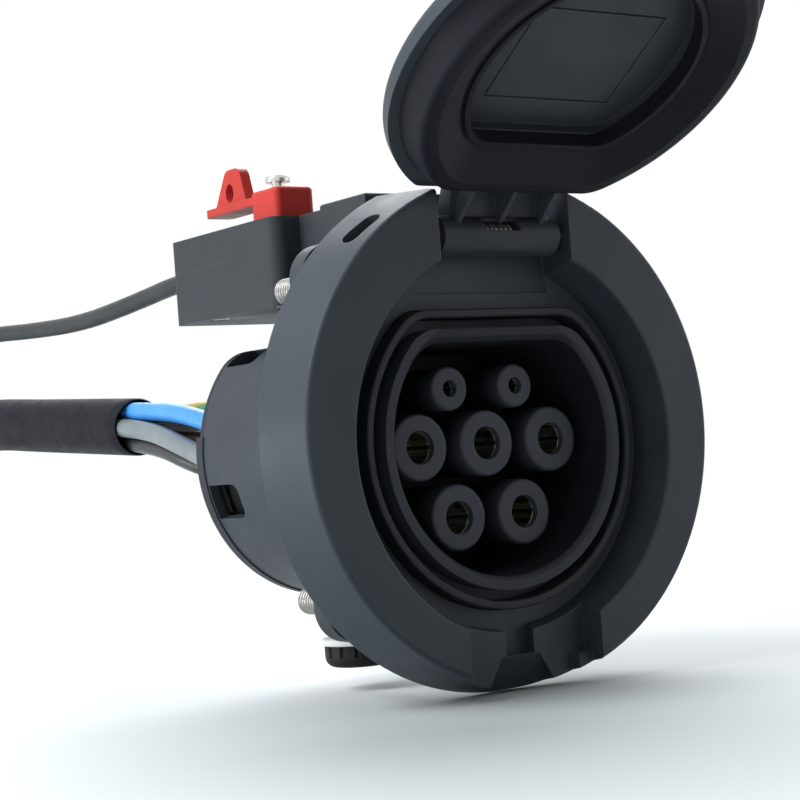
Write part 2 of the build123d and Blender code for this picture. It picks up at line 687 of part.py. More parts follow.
def make_lid_shell():
    back = rim_y - LID_PLUG_H
    front = back - LID_T
    face = d_face(LID_R, LID_FLAT, 3.0)
    shell = slab(face, front, back)
    shell = fillet(shell.edges().group_by(Axis.Y)[0], LID_EDGE_R)
    floor_y = rim_y - LID_FLOOR
    shell -= slab(d_face(LID_MOUTH_R + 0.5, corner=6), floor_y, back + 1)
    line = Rectangle(LABEL_W, LABEL_H) - Rectangle(LABEL_W - 2 * LABEL_LINE, LABEL_H - 2 * LABEL_LINE)
    shell -= slab(Pos(0, INSERT_Z) * line, floor_y - 0.35, floor_y + 1)

    # Hinge arm: a sloping plate from the shell back to the knuckle
    arm = side_plate([(front + 0.6, 27.5), (back - 0.2, 26.6), (hinge_y - 1.6, HINGE_Z - 2.9),
                      (hinge_y + 0.6, HINGE_Z + 2.9), (hinge_y - 2.2, HINGE_Z + 2.8)],
                     -ARM_HALF, ARM_HALF)
    arm += rod_x(KNUCKLE_R, -HINGE_HALF, HINGE_HALF, hinge_y, HINGE_Z)
    spring_half = SPRING_TURNS * SPRING_PITCH / 2 + SPRING_WIRE_R + 0.5
    spring_r = SPRING_R + SPRING_WIRE_R
    arm -= rod_x(spring_r + SPRING_ROOM, -spring_half, spring_half, hinge_y, HINGE_Z)
    arm -= rod_x(PIN_R + RUN_FIT, -HINGE_HALF - 1, HINGE_HALF + 1, hinge_y, HINGE_Z)

    # Window over the spring, and gussets between the plug's flat side and the knuckle
    arm -= Pos(0, hinge_y + 0.2, HINGE_Z - KNUCKLE_R + 0.4) * Box(2 * spring_half, 2.6, 3.4)
    rib_y = rim_y - 0.9
    plug_side = INSERT_Z + LID_PLUG_FLAT - LID_PLUG_TAPER * (rib_y - back) / LID_PLUG_H
    rib = side_plate([(back - 0.2, 26.5), (rib_y, plug_side + PART_FIT), (rim_y + 0.2, HINGE_Z - 3.4),
                      (hinge_y - 1.9, HINGE_Z - 3.0)], -RIB_T / 2, RIB_T / 2)
    for x in (-RIB_X, 0, RIB_X):
        arm += Pos(x, 0, 0) * rib
    shell += arm

    # Latch tab at the far edge, with a nose for the bezel's groove
    tab_back = bezel_front + LATCH_DEPTH - LATCH_GAP
    tab = side_plate([(front + 1.0, -33.5), (back, -33.5), (back, -35.3), (tab_back, -36.4),
                      (tab_back, -38.2), (back + 0.8, -41.6), (front + 0.4, -43.2), (front + 0.2, -40.5)],
                     -LATCH_TAB_HALF, LATCH_TAB_HALF)
    nose_half = LATCH_GROOVE_HALF - LATCH_GAP
    tab += side_plate([(back, -35.5), (tab_back + LATCH_GROOVE_DEPTH - 0.6, -36.4),
                       (tab_back + LATCH_GROOVE_DEPTH - 0.6, -37.4), (back, -37.9)],
                      -nose_half, nose_half)
    shell += tab
    return swing_open(shell)


def make_lid_plug():
    back = rim_y - LID_PLUG_H
    taper = degrees(atan(LID_PLUG_TAPER / LID_PLUG_H))
    face = d_face(LID_PLUG_R, LID_PLUG_FLAT, 9.5)
    plug = extrude(facing(back) * face, amount=-LID_PLUG_H, taper=taper)
    rim = plug.edges().filter_by_position(Axis.Y, rim_y - 0.01, rim_y + 0.01)
    plug = fillet(rim, LID_PLUG_EDGE_R)
    slope = degrees(atan((LID_DISH_R - LID_MOUTH_R - LID_LIP_T) / LID_DISH_DEPTH))
    dish = d_face(LID_DISH_R, LID_DISH_R - 4.6, 9.0)
    plug -= extrude(facing(rim_y) * dish, amount=LID_DISH_DEPTH, taper=slope)
    lip = d_face(LID_MOUTH_R + LID_LIP_T, LID_MOUTH_R - 5.2 + LID_LIP_T, 7.0)
    plug += slab(lip, back, rim_y - LID_DISH_DEPTH + LID_LIP_H)
    plug -= slab(d_face(LID_MOUTH_R, LID_MOUTH_R - 5.2, 6.0), back - 1, rim_y + 1)
    return swing_open(plug)


def make_hinge_pin():
    pin = rod_x(PIN_R, -PIN_HALF, PIN_HALF, hinge_y, HINGE_Z)
    return chamfer(pin.edges(), 0.25)


def make_lid_spring():
    length = SPRING_TURNS * SPRING_PITCH
    coil = Helix(pitch=SPRING_PITCH, height=length, radius=SPRING_R)
    start = coil @ 0
    wire = sweep(Plane(origin=start, z_dir=coil % 0) * Circle(SPRING_WIRE_R), path=coil)
    return Pos(-length / 2, hinge_y, HINGE_Z) * Rot(0, 90, 0) * wire


# Lock case: two halves with a nose over the lock pin

def case_outline(inset=0.0):
    """Plan of the case, wide at the back and narrower at the nose."""
    box = Pos((CASE_LEFT + CASE_RIGHT) / 2, (CASE_FRONT + case_back) / 2)
    box *= RectangleRounded(CASE_RIGHT - CASE_LEFT - 2 * inset, CASE_LENGTH - 2 * inset,
                            max(CASE_EDGE_R - inset, 0.6))
    nose_y1 = CASE_FRONT + inset + 1
    nose = Pos((NOSE_LEFT + CASE_RIGHT) / 2, (NOSE_FRONT + inset + nose_y1) / 2)
    nose *= Rectangle(CASE_RIGHT - NOSE_LEFT - 2 * inset, nose_y1 - NOSE_FRONT - inset)
    return box + nose


def case_posts(z0, z1, radius):
    posts = rod_z(radius, z0, z1, *case_post_spots[0])
    for x, y in case_post_spots[1:]:
        posts += rod_z(radius, z0, z1, x, y)
    return posts


post_in = CASE_WALL + CASE_POST_R - 0.4
case_post_spots = [(CASE_LEFT + post_in, CASE_FRONT + post_in),
                   (CASE_LEFT + post_in, case_back - post_in - 9),
                   (CASE_RIGHT - post_in, case_back - post_in), (CASE_RIGHT - post_in, NOSE_FRONT + post_in)]
fixing_spots = [(0, CASE_FRONT + 1.6), (0, body_back - PAD_BACK_GAP - 3.6)]


def make_case_lower():
    body = extrude(Pos(0, 0, case_bottom) * case_outline(), amount=case_seam - case_bottom)
    room = extrude(Pos(0, 0, case_bottom + CASE_WALL) * case_outline(inset=CASE_WALL),
                   amount=case_seam - case_bottom)
    body -= room
    inside = extrude(Pos(0, 0, case_bottom) * case_outline(inset=0.3), amount=case_seam - case_bottom)
    body += case_posts(case_bottom, case_seam, CASE_POST_R) & inside
    body -= case_posts(case_bottom - 1, case_seam + 1, CASE_SCREW_R + SCREW_FIT)
    body -= case_posts(case_bottom - 1, case_bottom + 0.1 + CASE_SCREW_HEAD_T, CASE_SCREW_HEAD_R + 0.2)
    body -= rod_z(LOCK_PIN_R + RUN_FIT, case_bottom - 1, case_seam, 0, LOCK_Y)
    for x, y in fixing_spots:
        body -= rod_z(FIXING_R + SCREW_FIT, case_bottom - 1, case_seam, x, y)

    # Foot bearing of the release shaft
    foot = rod_z(SHAFT_R + 1.6, case_bottom + 1, crank_z0 - 0.2, LEVER_X, LEVER_Y)
    body += foot - rod_z(SHAFT_R - 1 + RUN_FIT, case_bottom + CASE_WALL, case_seam, LEVER_X, LEVER_Y)
    body -= rod_y(LOCK_CABLE_D / 2 + 0.6, case_back - 5, case_back + 5, CABLE_X, cable_z)
    return body


def make_case_upper():
    body = extrude(Pos(0, 0, case_seam) * case_outline(), amount=case_top - case_seam)
    nose_w = CASE_RIGHT - NOSE_LEFT
    nose_top = Pos((NOSE_LEFT + CASE_RIGHT) / 2, NOSE_FRONT + NOSE_LENGTH / 2, 0)
    body += nose_top * Pos(0, 0, case_top + NOSE_RISE / 2) * Box(nose_w, NOSE_LENGTH, NOSE_RISE)
    top = [e for e in body.edges() if e.center().Z > case_top + NOSE_RISE - 0.01]
    body = fillet(top, 0.6)
    body -= extrude(Pos(0, 0, case_seam) * case_outline(inset=CASE_WALL),
                    amount=case_top - CASE_WALL - case_seam)
    inside = extrude(Pos(0, 0, case_seam) * case_outline(inset=0.3), amount=case_top - case_seam - 0.5)
    body += case_posts(case_seam, case_top - 0.5, CASE_POST_R) & inside
    body -= case_posts(case_seam - 1, case_top - 1.6, CASE_SCREW_R + SCREW_FIT)
    body -= rod_z(SHAFT_R + RUN_FIT, case_seam, case_top + 3, LEVER_X, LEVER_Y)
    body -= rod_y(LOCK_CABLE_D / 2 + 0.6, case_back - 5, case_back + 5, CABLE_X, cable_z)
    return body


def make_case_screws():
    screws = []
    for x, y in case_post_spots:
        head = rod_z(CASE_SCREW_HEAD_R, case_bottom + 0.1, case_bottom + 0.1 + CASE_SCREW_HEAD_T, x, y)
        head -= cross_z(x, y, case_bottom, case_bottom + 0.8, 1.2)
        screws.append(head + rod_z(CASE_SCREW_R, case_bottom + 1, case_top - 2.4, x, y))
    return group(screws)


def make_fixing_screws():
    screws = []
    for x, y in fixing_spots:
        z = case_bottom + CASE_WALL
        head = rod_z(FIXING_HEAD_R, z, z + 1.4, x, y) - cross_z(x, y, z + 0.7, z + 2, 1.3)
        screws.append(head + rod_z(FIXING_R, z - FIXING_REACH, z + 0.2, x, y))
    return group(screws)


# Lock works, drawn with the pin up. The lever turns the shaft, whose crank pin moves the slide
# along Y, and the slide's sloping slot moves the lock pin along Z by the same distance.

crank_r = LOCK_TRAVEL / (2 * sin(radians(LEVER_TURN / 2)))
crank_z0 = slide_z - SLIDE_H / 2 - 3.0
crank_z1 = crank_z0 + 2.6
crank_x = LEVER_X + crank_r * cos(radians(LEVER_TURN / 2))
crank_y = LEVER_Y - LOCK_TRAVEL / 2
well_roof = INSERT_Z + RING_R - RING_T - D_FLAT_DROP
pin_tip = well_roof + LOCK_TIP_ABOVE
cross_pin_z = case_top - CASE_WALL - 3.4
plate_front = NOSE_FRONT + CASE_WALL + 0.25


def sloping_slot(width, half_x):
    """Slot from the cross pin's place down towards the front, at 45 degrees."""
    run = LOCK_TRAVEL
    slot = SlotCenterToCenter(run * sqrt(2), width)
    plane = Plane(origin=(-half_x, LOCK_Y - run / 2, cross_pin_z - run / 2),
                  x_dir=(0, 1, 1), z_dir=(1, 0, 0))
    return extrude(plane * slot, amount=2 * half_x)


def make_lock_slide():
    low = slide_z - SLIDE_H / 2
    top = cross_pin_z + 2.4
    slot_low = cross_pin_z - LOCK_TRAVEL
    plate = side_plate([(plate_front, slot_low - 2.4), (LOCK_Y - 0.5, slot_low - 2.4),
                        (LOCK_Y + 3.0, low), (SLIDE_FRONT + 2, low),
                        (SLIDE_FRONT + 2, slide_z + SLIDE_H / 2), (LOCK_Y + 3.0, top),
                        (LOCK_Y - 2.0, top), (plate_front, slot_low + 3.0)],
                       -SLOT_PLATE_T / 2, SLOT_PLATE_T / 2)
    bar = block(-SLIDE_HALF_W, SLIDE_HALF_W, SLIDE_FRONT, SLIDE_BACK, low, slide_z + SLIDE_H / 2)
    lug_half = CRANK_PIN_R + CRANK_SLOT_GAP + 1.6
    lug = block(crank_x - CRANK_PIN_R - 0.5, 0, crank_y - lug_half, crank_y + lug_half,
                low, slide_z + SLIDE_H / 2)
    reach = crank_r * (1 - cos(radians(LEVER_TURN / 2)))
    slot = block(crank_x - 20, crank_x + reach + CRANK_PIN_R + 0.25,
                 crank_y - CRANK_PIN_R - CRANK_SLOT_GAP, crank_y + CRANK_PIN_R + CRANK_SLOT_GAP,
                 low - 1, slide_z + SLIDE_H)
    slide = plate + bar + lug - slot
    slide -= sloping_slot(2 * CROSS_R + 2 * RUN_FIT, SLOT_PLATE_T)
    return slide


def make_lock_pin():
    top = cross_pin_z + 2.2
    pin = rod_z(LOCK_PIN_R, pin_tip, top, 0, LOCK_Y)
    pin = chamfer(pin.edges().group_by(Axis.Z)[0], 0.6)
    gap = SLOT_PLATE_T / 2 + 0.15
    pin -= block(-gap, gap, LOCK_Y - 5, LOCK_Y + 5, cross_pin_z - LOCK_TRAVEL - 3.2, top + 1)
    return pin - rod_x(CROSS_R + 0.02, -5, 5, LOCK_Y, cross_pin_z)


def make_cross_pin():
    return rod_x(CROSS_R, -LOCK_PIN_R * 0.88, LOCK_PIN_R * 0.88, LOCK_Y, cross_pin_z)


frame_front = SLIDE_BACK + LOCK_TRAVEL + 0.6
frame_back = frame_front + COIL_LENGTH + 2 * FRAME_T
plunger_back = frame_back - FRAME_T - LOCK_TRAVEL - 0.4


def make_plunger():
    return rod_y(PLUNGER_R, SLIDE_BACK, plunger_back, 0, slide_z)


def make_coil_frame():
    low = case_bottom + CASE_WALL
    half = 6.6
    high = slide_z + COIL_R + 0.6
    frame = block(-half, half, frame_front, frame_back, low, low + FRAME_T)
    frame += block(-half, half, frame_front, frame_front + FRAME_T, low, high)
    frame += block(-half, half, frame_back - FRAME_T, frame_back, low, high)
    return frame - rod_y(PLUNGER_R + RUN_FIT, frame_front - 1, frame_front + FRAME_T + 1, 0, slide_z)


def make_coil():
    y0 = frame_front + FRAME_T
    y1 = frame_back - FRAME_T
    coil = rod_y(COIL_R, y0, y1, 0, slide_z)
    winding = rod_y(COIL_R + 1, y0 + 1, y1 - 1, 0, slide_z) - rod_y(COIL_R - 0.5, y0, y1, 0, slide_z)
    coil -= winding
    return coil - rod_y(PLUNGER_R + RUN_FIT, y0 - 1, y1 + 1, 0, slide_z)


def make_lock_switch():
    low = case_bottom + CASE_WALL
    body = block(5.4, 11.2, 24.0, 36.8, low, low + 6.5)
    for y in (25.8, 30.4, 35.0):
        body += block(7.8, 8.8, y - 0.3, y + 0.3, low + 6.4, low + 8.6)
    button = block(4.6, 5.6, 31.6, 33.2, low + 3.6, low + 5.0)
    return body + button


def make_release_shaft():
    shaft = rod_z(SHAFT_R, crank_z0, lever_z1 - 1.6, LEVER_X, LEVER_Y)
    shaft += rod_z(SHAFT_R - 1, case_bottom + CASE_WALL + 0.2, crank_z0 + 0.5, LEVER_X, LEVER_Y)
    arm = SlotCenterToCenter(crank_r, 2 * SHAFT_R)
    crank = Pos(LEVER_X, LEVER_Y, crank_z0) * Rot(0, 0, -LEVER_TURN / 2) * Pos(crank_r / 2, 0, 0)
    shaft += crank * extrude(arm, amount=crank_z1 - crank_z0)
    shaft += rod_z(CRANK_PIN_R, crank_z1 - 0.5, slide_z + SLIDE_H / 2, crank_x, crank_y)
    flat = block(SHAFT_R - 0.6, SHAFT_R + 2, -5, 5, lever_z0, lever_z1 + 5)
    shaft -= Pos(LEVER_X, LEVER_Y, 0) * flat
    screw_end = lever_z1 - LEVER_SCREW_DEEP
    return shaft - rod_z(LEVER_SCREW_R + 0.02, screw_end - 0.2, lever_z1 + 1, LEVER_X, LEVER_Y)


def make_release_lever():
    """Hub block, raised arm to the rear and an upright flag with a hole in it."""
    hub = block(LEVER_X - LEVER_HUB_LEFT, LEVER_X + LEVER_HUB_RIGHT,
                LEVER_Y - LEVER_HUB_FRONT, LEVER_Y + LEVER_HUB_BACK, lever_z0, lever_z1)
    hub = fillet(hub.edges().filter_by(Axis.Z), 1.3)
    hub = fillet(hub.edges().group_by(Axis.Z)[-1], 0.8)
    arm_z0 = lever_z0 + LEVER_ARM_RISE
    arm_z1 = arm_z0 + LEVER_ARM_T
    arm_x0 = LEVER_X - LEVER_HUB_LEFT
    arm = block(arm_x0, arm_x0 + LEVER_ARM_W, LEVER_Y + 2, LEVER_Y + LEVER_ARM_REACH, arm_z0, arm_z1)
    arm = fillet(arm.edges().filter_by(Axis.Z).group_by(Axis.Y)[-1], 1.5)
    base_z = arm_z1 - 0.5
    top_z = base_z + FLAG_H
    flag_mid = (FLAG_START + FLAG_END) / 2 - 1.4
    flag_outline = make_face(Polyline((LEVER_Y + FLAG_START, base_z), (LEVER_Y + FLAG_END, base_z),
                                      (LEVER_Y + flag_mid + 2.6, top_z), (LEVER_Y + flag_mid - 2.6, top_z),
                                      close=True))
    peak = flag_outline.vertices().group_by(Axis.Y)[-1]
    flag_outline = fillet(peak, 2.2)
    flag_outline -= Pos(LEVER_Y + flag_mid + 1.4, base_z + 3.2) * Ellipse(1.5, 1.9)
    plane = Plane(origin=(LEVER_X - 1.6, 0, 0), x_dir=(0, 1, 0), z_dir=(1, 0, 0))
    lever = hub + arm + extrude(plane * flag_outline, amount=FLAG_T)
    bore = rod_z(SHAFT_R + 0.03, lever_z0 - 1, lever_z1 - 1.4, LEVER_X, LEVER_Y)
    bore -= block(LEVER_X + SHAFT_R - 0.57, LEVER_X + SHAFT_R + 2, LEVER_Y - 5, LEVER_Y + 5,
                  lever_z0 - 2, lever_z1 + 1)
    lever -= bore
    return lever - rod_z(LEVER_SCREW_R + 0.15, lever_z0, lever_z1 + 1, LEVER_X, LEVER_Y)


def make_lever_screw():
    """Pan-head screw that stands a little proud of the hub."""
    head_z = lever_z1 + LEVER_SCREW_PROUD
    top = head_z + LEVER_SCREW_HEAD_T
    head = rod_z(LEVER_SCREW_HEAD_R, head_z, top, LEVER_X, LEVER_Y)
    head = fillet(head.edges().group_by(Axis.Z)[-1], 0.9)
    head -= cross_z(LEVER_X, LEVER_Y, head_z + 0.7, top + 1, 1.5)
    return head + rod_z(LEVER_SCREW_R, lever_z1 - LEVER_SCREW_DEEP, head_z + 0.1, LEVER_X, LEVER_Y)


# Cables

def tube(points, diameter):
    """Round tube along straight runs joined by tangent arcs."""
    points = [Vector(*p) for p in points]
    runs = [(b - a).length for a, b in zip(points, points[1:])]
    radii = []
    for i in range(1, len(points) - 1):
        before = (points[i] - points[i - 1]).normalized()
        after = (points[i + 1] - points[i]).normalized()
        turn = radians(before.get_angle(after))
        radii.append(0.45 * min(runs[i - 1], runs[i]) / tan(turn / 2))
    path = FilletPolyline(*points, radius=radii)
    start = Plane(origin=path @ 0, z_dir=path % 0)
    solid = sweep(start * Circle(diameter / 2), path=path)
    want = pi * diameter ** 2 / 4 * path.length
    print(f"tube {diameter} length {path.length:.1f} least radius {min(radii):.1f}",
          f"volume ratio {solid.volume / want:.4f}")
    return solid


sheath_route = [(-8.0, 110.0, 8.2), (-8.8, 152.0, 11.0), (-10.0, 196.0, 14.2), (-12.0, 240.0, 6.0),
                (-17.0, 286.0, -22.0), (-25.0, 332.0, -40.0), (-30.0, 380.0, -40.4), (-24.0, 427.0, -40.4)]
lock_cable_route = [(CABLE_X, case_back - 4.0, cable_z), (CABLE_X, 72.0, cable_z), (-15.8, 94.0, 34.8),
                    (-16.2, 118.0, 33.0), (-17.0, 143.0, 33.6), (-19.0, 168.0, 35.0), (-23.0, 192.0, 29.0),
                    (-28.0, 212.0, 9.0), (-32.0, 231.0, -15.0), (-35.0, 252.0, -37.0),
                    (-38.5, 277.0, -45.1), (-36.0, 304.0, -45.1)]


def make_sheath():
    """The sheath, cut back at both ends so that the wires show inside it."""
    sheath = tube(sheath_route, SHEATH_D)
    for end in (near_frame(), far_frame()):
        mouth = end * Cylinder(SHEATH_MOUTH_R, 2 * SHEATH_MOUTH_DEEP)
        sheath -= mouth
    return sheath


def near_frame():
    """Plane at the sheath's near end, its z along the sheath."""
    start = Vector(*sheath_route[0])
    return Plane(origin=start, x_dir=(1, 0, 0), z_dir=Vector(*sheath_route[1]) - start)


def make_lock_cable():
    return tube(lock_cable_route, LOCK_CABLE_D)


def make_cable_grommet():
    y0 = case_back - CASE_WALL - 1.2
    y1 = case_back + 0.8
    body = rod_y(LOCK_CABLE_D / 2 + 0.55, y0, y1, CABLE_X, cable_z)
    body += rod_y(LOCK_CABLE_D / 2 + 1.3, y0 - 0.2, case_back - CASE_WALL - 0.1, CABLE_X, cable_z)
    return body - rod_y(LOCK_CABLE_D / 2 + 0.1, y0 - 2, y1 + 1, CABLE_X, cable_z)


def far_frame():
    """Plane at the sheath's far end, its z along the sheath."""
    before = Vector(*sheath_route[-2])
    end = Vector(*sheath_route[-1])
    return Plane(origin=end, x_dir=(end - before).cross(Vector(0, 0, 1)), z_dir=end - before)


wire_lay = {"blue": 108, "green_yellow": 36, "brown": -36, "black": -108, "grey": 180}
wire_spots = {"brown": power_spots[2], "green_yellow": power_spots[1], "blue": power_spots[0],
              "black": power_spots[4], "grey": power_spots[3]}
wire_bows = {"brown": [(8.0, 62.0, -1.0), (1.0, 84.0, 3.0)],
             "green_yellow": [(-1.5, 62.0, 7.5), (-3.5, 83.0, 10.5)],
             "blue": [(-9.4, 60.0, 3.0), (-9.6, 84.0, 9.6)],
             "black": [(3.0, 60.0, -9.0), (-8.2, 82.0, -2.4)],
             "grey": [(-8.6, 58.0, -7.5), (-12.0, 82.0, 2.4)]}
signal_lay = [(SIGNAL_LAY_R, -72), (0, 0)]
signal_bows = [[(-4.0, 62.0, 1.0), (-3.4, 83.0, 1.4)], [(4.0, 62.0, 5.0), (-4.0, 83.0, 6.4)]]


def in_lay(frame, lay, along):
    """Point of a wire that lies at lay inside the sheath, at a distance along its frame."""
    return tuple(frame.from_local_coords((lay[0], -lay[1], along)))


def stub_tip(lay):
    return in_lay(far_frame(), (lay[0] * TAIL_FAN + TAIL_SWAY, lay[1]), TAIL_LENGTH)


def near_run(spot, bows, lay, diameter):
    """A wire from its contact into the sheath's cut end."""
    cx, cz = spot
    barrel_floor = retainer_back + BARREL_FLOOR + 0.2
    first = (cx, barrel_floor, INSERT_Z + cz)
    second = (cx, barrel_floor + 15.0, INSERT_Z + cz)
    run_in = [in_lay(near_frame(), lay, -9.0), in_lay(near_frame(), lay, SHEATH_MOUTH_DEEP)]
    return tube([first, second] + bows + run_in, diameter)


def tail(lay, diameter):
    """A wire's short end past the sheath."""
    run_out = [in_lay(far_frame(), lay, -SHEATH_MOUTH_DEEP), in_lay(far_frame(), lay, TAIL_LENGTH * 0.4)]
    return tube(run_out + [stub_tip(lay)], diameter)


def make_wire(name):
    return near_run(wire_spots[name], wire_bows[name], polar(LAY_R, wire_lay[name]), WIRE_D)


def make_tail(name):
    return tail(polar(LAY_R, wire_lay[name]), WIRE_D)


def make_signal_wires():
    return group(near_run(spot, bows, polar(*lay), SIGNAL_WIRE_D)
                 for spot, bows, lay in zip(signal_spots, signal_bows, signal_lay))


def make_signal_tails():
    return group(tail(polar(*lay), SIGNAL_WIRE_D) for lay in signal_lay)


def make_conductor_ends():
    """Bare copper past the insulation at the far end."""
    far = far_frame()
    ends = []
    lays = [(polar(LAY_R, angle), WIRE_D * 0.52) for angle in wire_lay.values()]
    lays += [(polar(*lay), SIGNAL_WIRE_D * 0.5) for lay in signal_lay]
    for lay, diameter in lays:
        bend = Vector(*in_lay(far, lay, TAIL_LENGTH * 0.4))
        tip = Vector(*stub_tip(lay))
        along = (tip - bend).normalized()
        ends.append(extrude(Plane(origin=tip, z_dir=along) * Circle(diameter / 2), amount=COPPER_LENGTH))
    return group(ends)


PIECES = {
    "front_bezel": make_bezel,
    "mounting_studs": make_studs,
    "flange_gasket": make_gasket,
    "flange_screws": make_flange_screws,
    "socket_housing": make_housing,
    "face_seal": make_face_seal,
    "contact_carrier": make_carrier,
    "contact_tubes": make_tubes,
    "power_contacts": make_power_contacts,
    "signal_contacts": make_signal_contacts,
    "contact_retainer": make_retainer,
    "retainer_screws": make_retainer_screws,
    "rear_cap": make_rear_cap,
    "drain_cap": make_drain_cap,
    "drain_ring": make_drain_ring,
    "lid_shell": make_lid_shell,
    "lid_plug": make_lid_plug,
    "hinge_pin": make_hinge_pin,
    "lid_spring": make_lid_spring,
    "lock_case_lower": make_case_lower,
    "lock_case_upper": make_case_upper,
    "case_screws": make_case_screws,
    "case_fixing_screws": make_fixing_screws,
    "lock_slide": make_lock_slide,
    "lock_pin": make_lock_pin,
    "lock_cross_pin": make_cross_pin,
    "coil_plunger": make_plunger,
    "coil_frame": make_coil_frame,
    "lock_coil": make_coil,
    "lock_switch": make_lock_switch,
    "release_shaft": make_release_shaft,
    "release_lever": make_release_lever,
    "lever_screw": make_lever_screw,
    "lock_cable_grommet": make_cable_grommet,
    "lock_cable": make_lock_cable,
    "supply_cable": make_sheath,
    "signal_wires": make_signal_wires,
    "signal_tails": make_signal_tails,
    "conductor_ends": make_conductor_ends,
}
for wire in wire_lay:
    PIECES[f"wire_{wire}"] = lambda wire=wire: make_wire(wire)
    PIECES[f"tail_{wire}"] = lambda wire=wire: make_tail(wire)

os.makedirs("parts", exist_ok=True)
for name, make in PIECES.items():
    save(make(), name)
    print(name)
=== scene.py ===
"""Looks of the panel-mounted charging socket: finishes, threads, cables, camera and studio."""
import json
from math import cos, pi, radians, sin

import bpy
from mathutils import Matrix, Vector


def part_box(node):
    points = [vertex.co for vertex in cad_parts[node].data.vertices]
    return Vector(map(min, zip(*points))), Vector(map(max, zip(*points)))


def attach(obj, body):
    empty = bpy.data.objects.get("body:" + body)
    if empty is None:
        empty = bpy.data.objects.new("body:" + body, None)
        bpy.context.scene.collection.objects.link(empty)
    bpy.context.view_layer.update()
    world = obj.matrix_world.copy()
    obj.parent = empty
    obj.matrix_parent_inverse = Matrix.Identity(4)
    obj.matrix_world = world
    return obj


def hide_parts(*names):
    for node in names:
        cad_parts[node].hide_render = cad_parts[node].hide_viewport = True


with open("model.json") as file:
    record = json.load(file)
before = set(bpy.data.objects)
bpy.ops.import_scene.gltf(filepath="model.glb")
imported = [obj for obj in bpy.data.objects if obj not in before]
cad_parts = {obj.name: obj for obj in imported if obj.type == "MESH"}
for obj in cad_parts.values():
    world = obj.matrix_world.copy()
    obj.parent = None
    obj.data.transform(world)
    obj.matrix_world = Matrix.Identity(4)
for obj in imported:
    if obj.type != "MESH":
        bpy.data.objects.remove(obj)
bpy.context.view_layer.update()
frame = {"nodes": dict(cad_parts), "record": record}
nodes = frame["nodes"]
MM = 0.001
COOL = (0.95, 0.98, 1.0)    # colour of the daylight from the lamps and the world

# Camera: where the photograph was taken from, in the part's frame

VIEW_AZIMUTH = -35.51
VIEW_ELEVATION = -1.82
VIEW_ROLL = -4.36
VIEW_DISTANCE = 0.3494
VIEW_SIDE = -0.02154
VIEW_RISE = 0.00506
AIM_Y = -0.0177         # the camera's aim lies on the bezel's front face
FOCAL_PX = 1971.8
PHOTO_PX = 800.0
SENSOR_MM = 36.0


def make_camera():
    a = radians(VIEW_AZIMUTH)
    e = radians(VIEW_ELEVATION)
    r = radians(VIEW_ROLL)
    back = Vector((sin(a) * cos(e), -cos(a) * cos(e), sin(e)))
    right = Vector((0, 0, 1)).cross(back).normalized()
    up = back.cross(right)
    side = right * cos(r) + up * sin(r)
    rise = up * cos(r) - right * sin(r)
    place = Vector((0, AIM_Y, 0)) + back * VIEW_DISTANCE + side * VIEW_SIDE + rise * VIEW_RISE
    data = bpy.data.cameras.new("view")
    data.sensor_width = SENSOR_MM
    data.lens = SENSOR_MM * FOCAL_PX / PHOTO_PX
    data.clip_start = 0.01
    camera = bpy.data.objects.new("view", data)
    camera.matrix_world = Matrix.Translation(place) @ Matrix((side, rise, back)).transposed().to_4x4()
    bpy.context.scene.collection.objects.link(camera)
    bpy.context.scene.camera = camera


# Materials. Scales of noise are features per metre, and depths and radii are metres.

BEVEL_SAMPLES = 4
EDGE_SHARP = 0.80       # how far the rounded normal agrees with the plain one, at an edge
EDGE_FLAT = 0.995       # and on flat ground
EDGE_WIDTH = 1.4        # of the edge's radius, for the rubbed line and its painted highlight

PATCH_SCALE = 38.0
SPECKLE_SCALE = 420.0
GLOSS_SCALE = 160.0
CONTACT_AXIS_Z = -0.002
SHIFT_Y = 1.0           # keeps the station positive, where it is measured as a length

# What a painted shade goes by: the axes that count, what is added to the place, and what that adds to its
# length
PAINTED_SHADE_WAYS = {"Y": ((0.0, 1.0, 0.0), (0.0, SHIFT_Y, 0.0), SHIFT_Y),
              "R": ((1.0, 0.0, 1.0), (0.0, 0.0, -CONTACT_AXIS_Z), 0.0)}

DUST_SCALE = 90.0
RUBBER_GLOSS_SCALE = 300.0
PEBBLE_SCALE = 1500.0
PEBBLE_DEPTH = 0.00006
RUBBER_EDGE = 0.0002

CLOUD_SCALE = 230.0
MARK_SCALE = 900.0
MARK_DEPTH = 0.00002
METAL_EDGE = 0.00012
CREVICE_SHADE_SHARE = 0.15    # share of a metal's colour that is left in a narrow hollow, as painted shade

WIRE_PATCH_SCALE = 260.0
WIRE_GLOSS_SCALE = 500.0
WIRE_SKIN_SCALE = 700.0
WIRE_SKIN_DEPTH = 0.00004
STRIPE_TURNS_PER_M = 22.0
STRIPE_SHARE = 0.42
STRIPE_BLUR = 0.015

COIL_PITCH = 0.0004
COIL_GLOSS_SCALE = 500.0
COIL_DEPTH = 0.0001


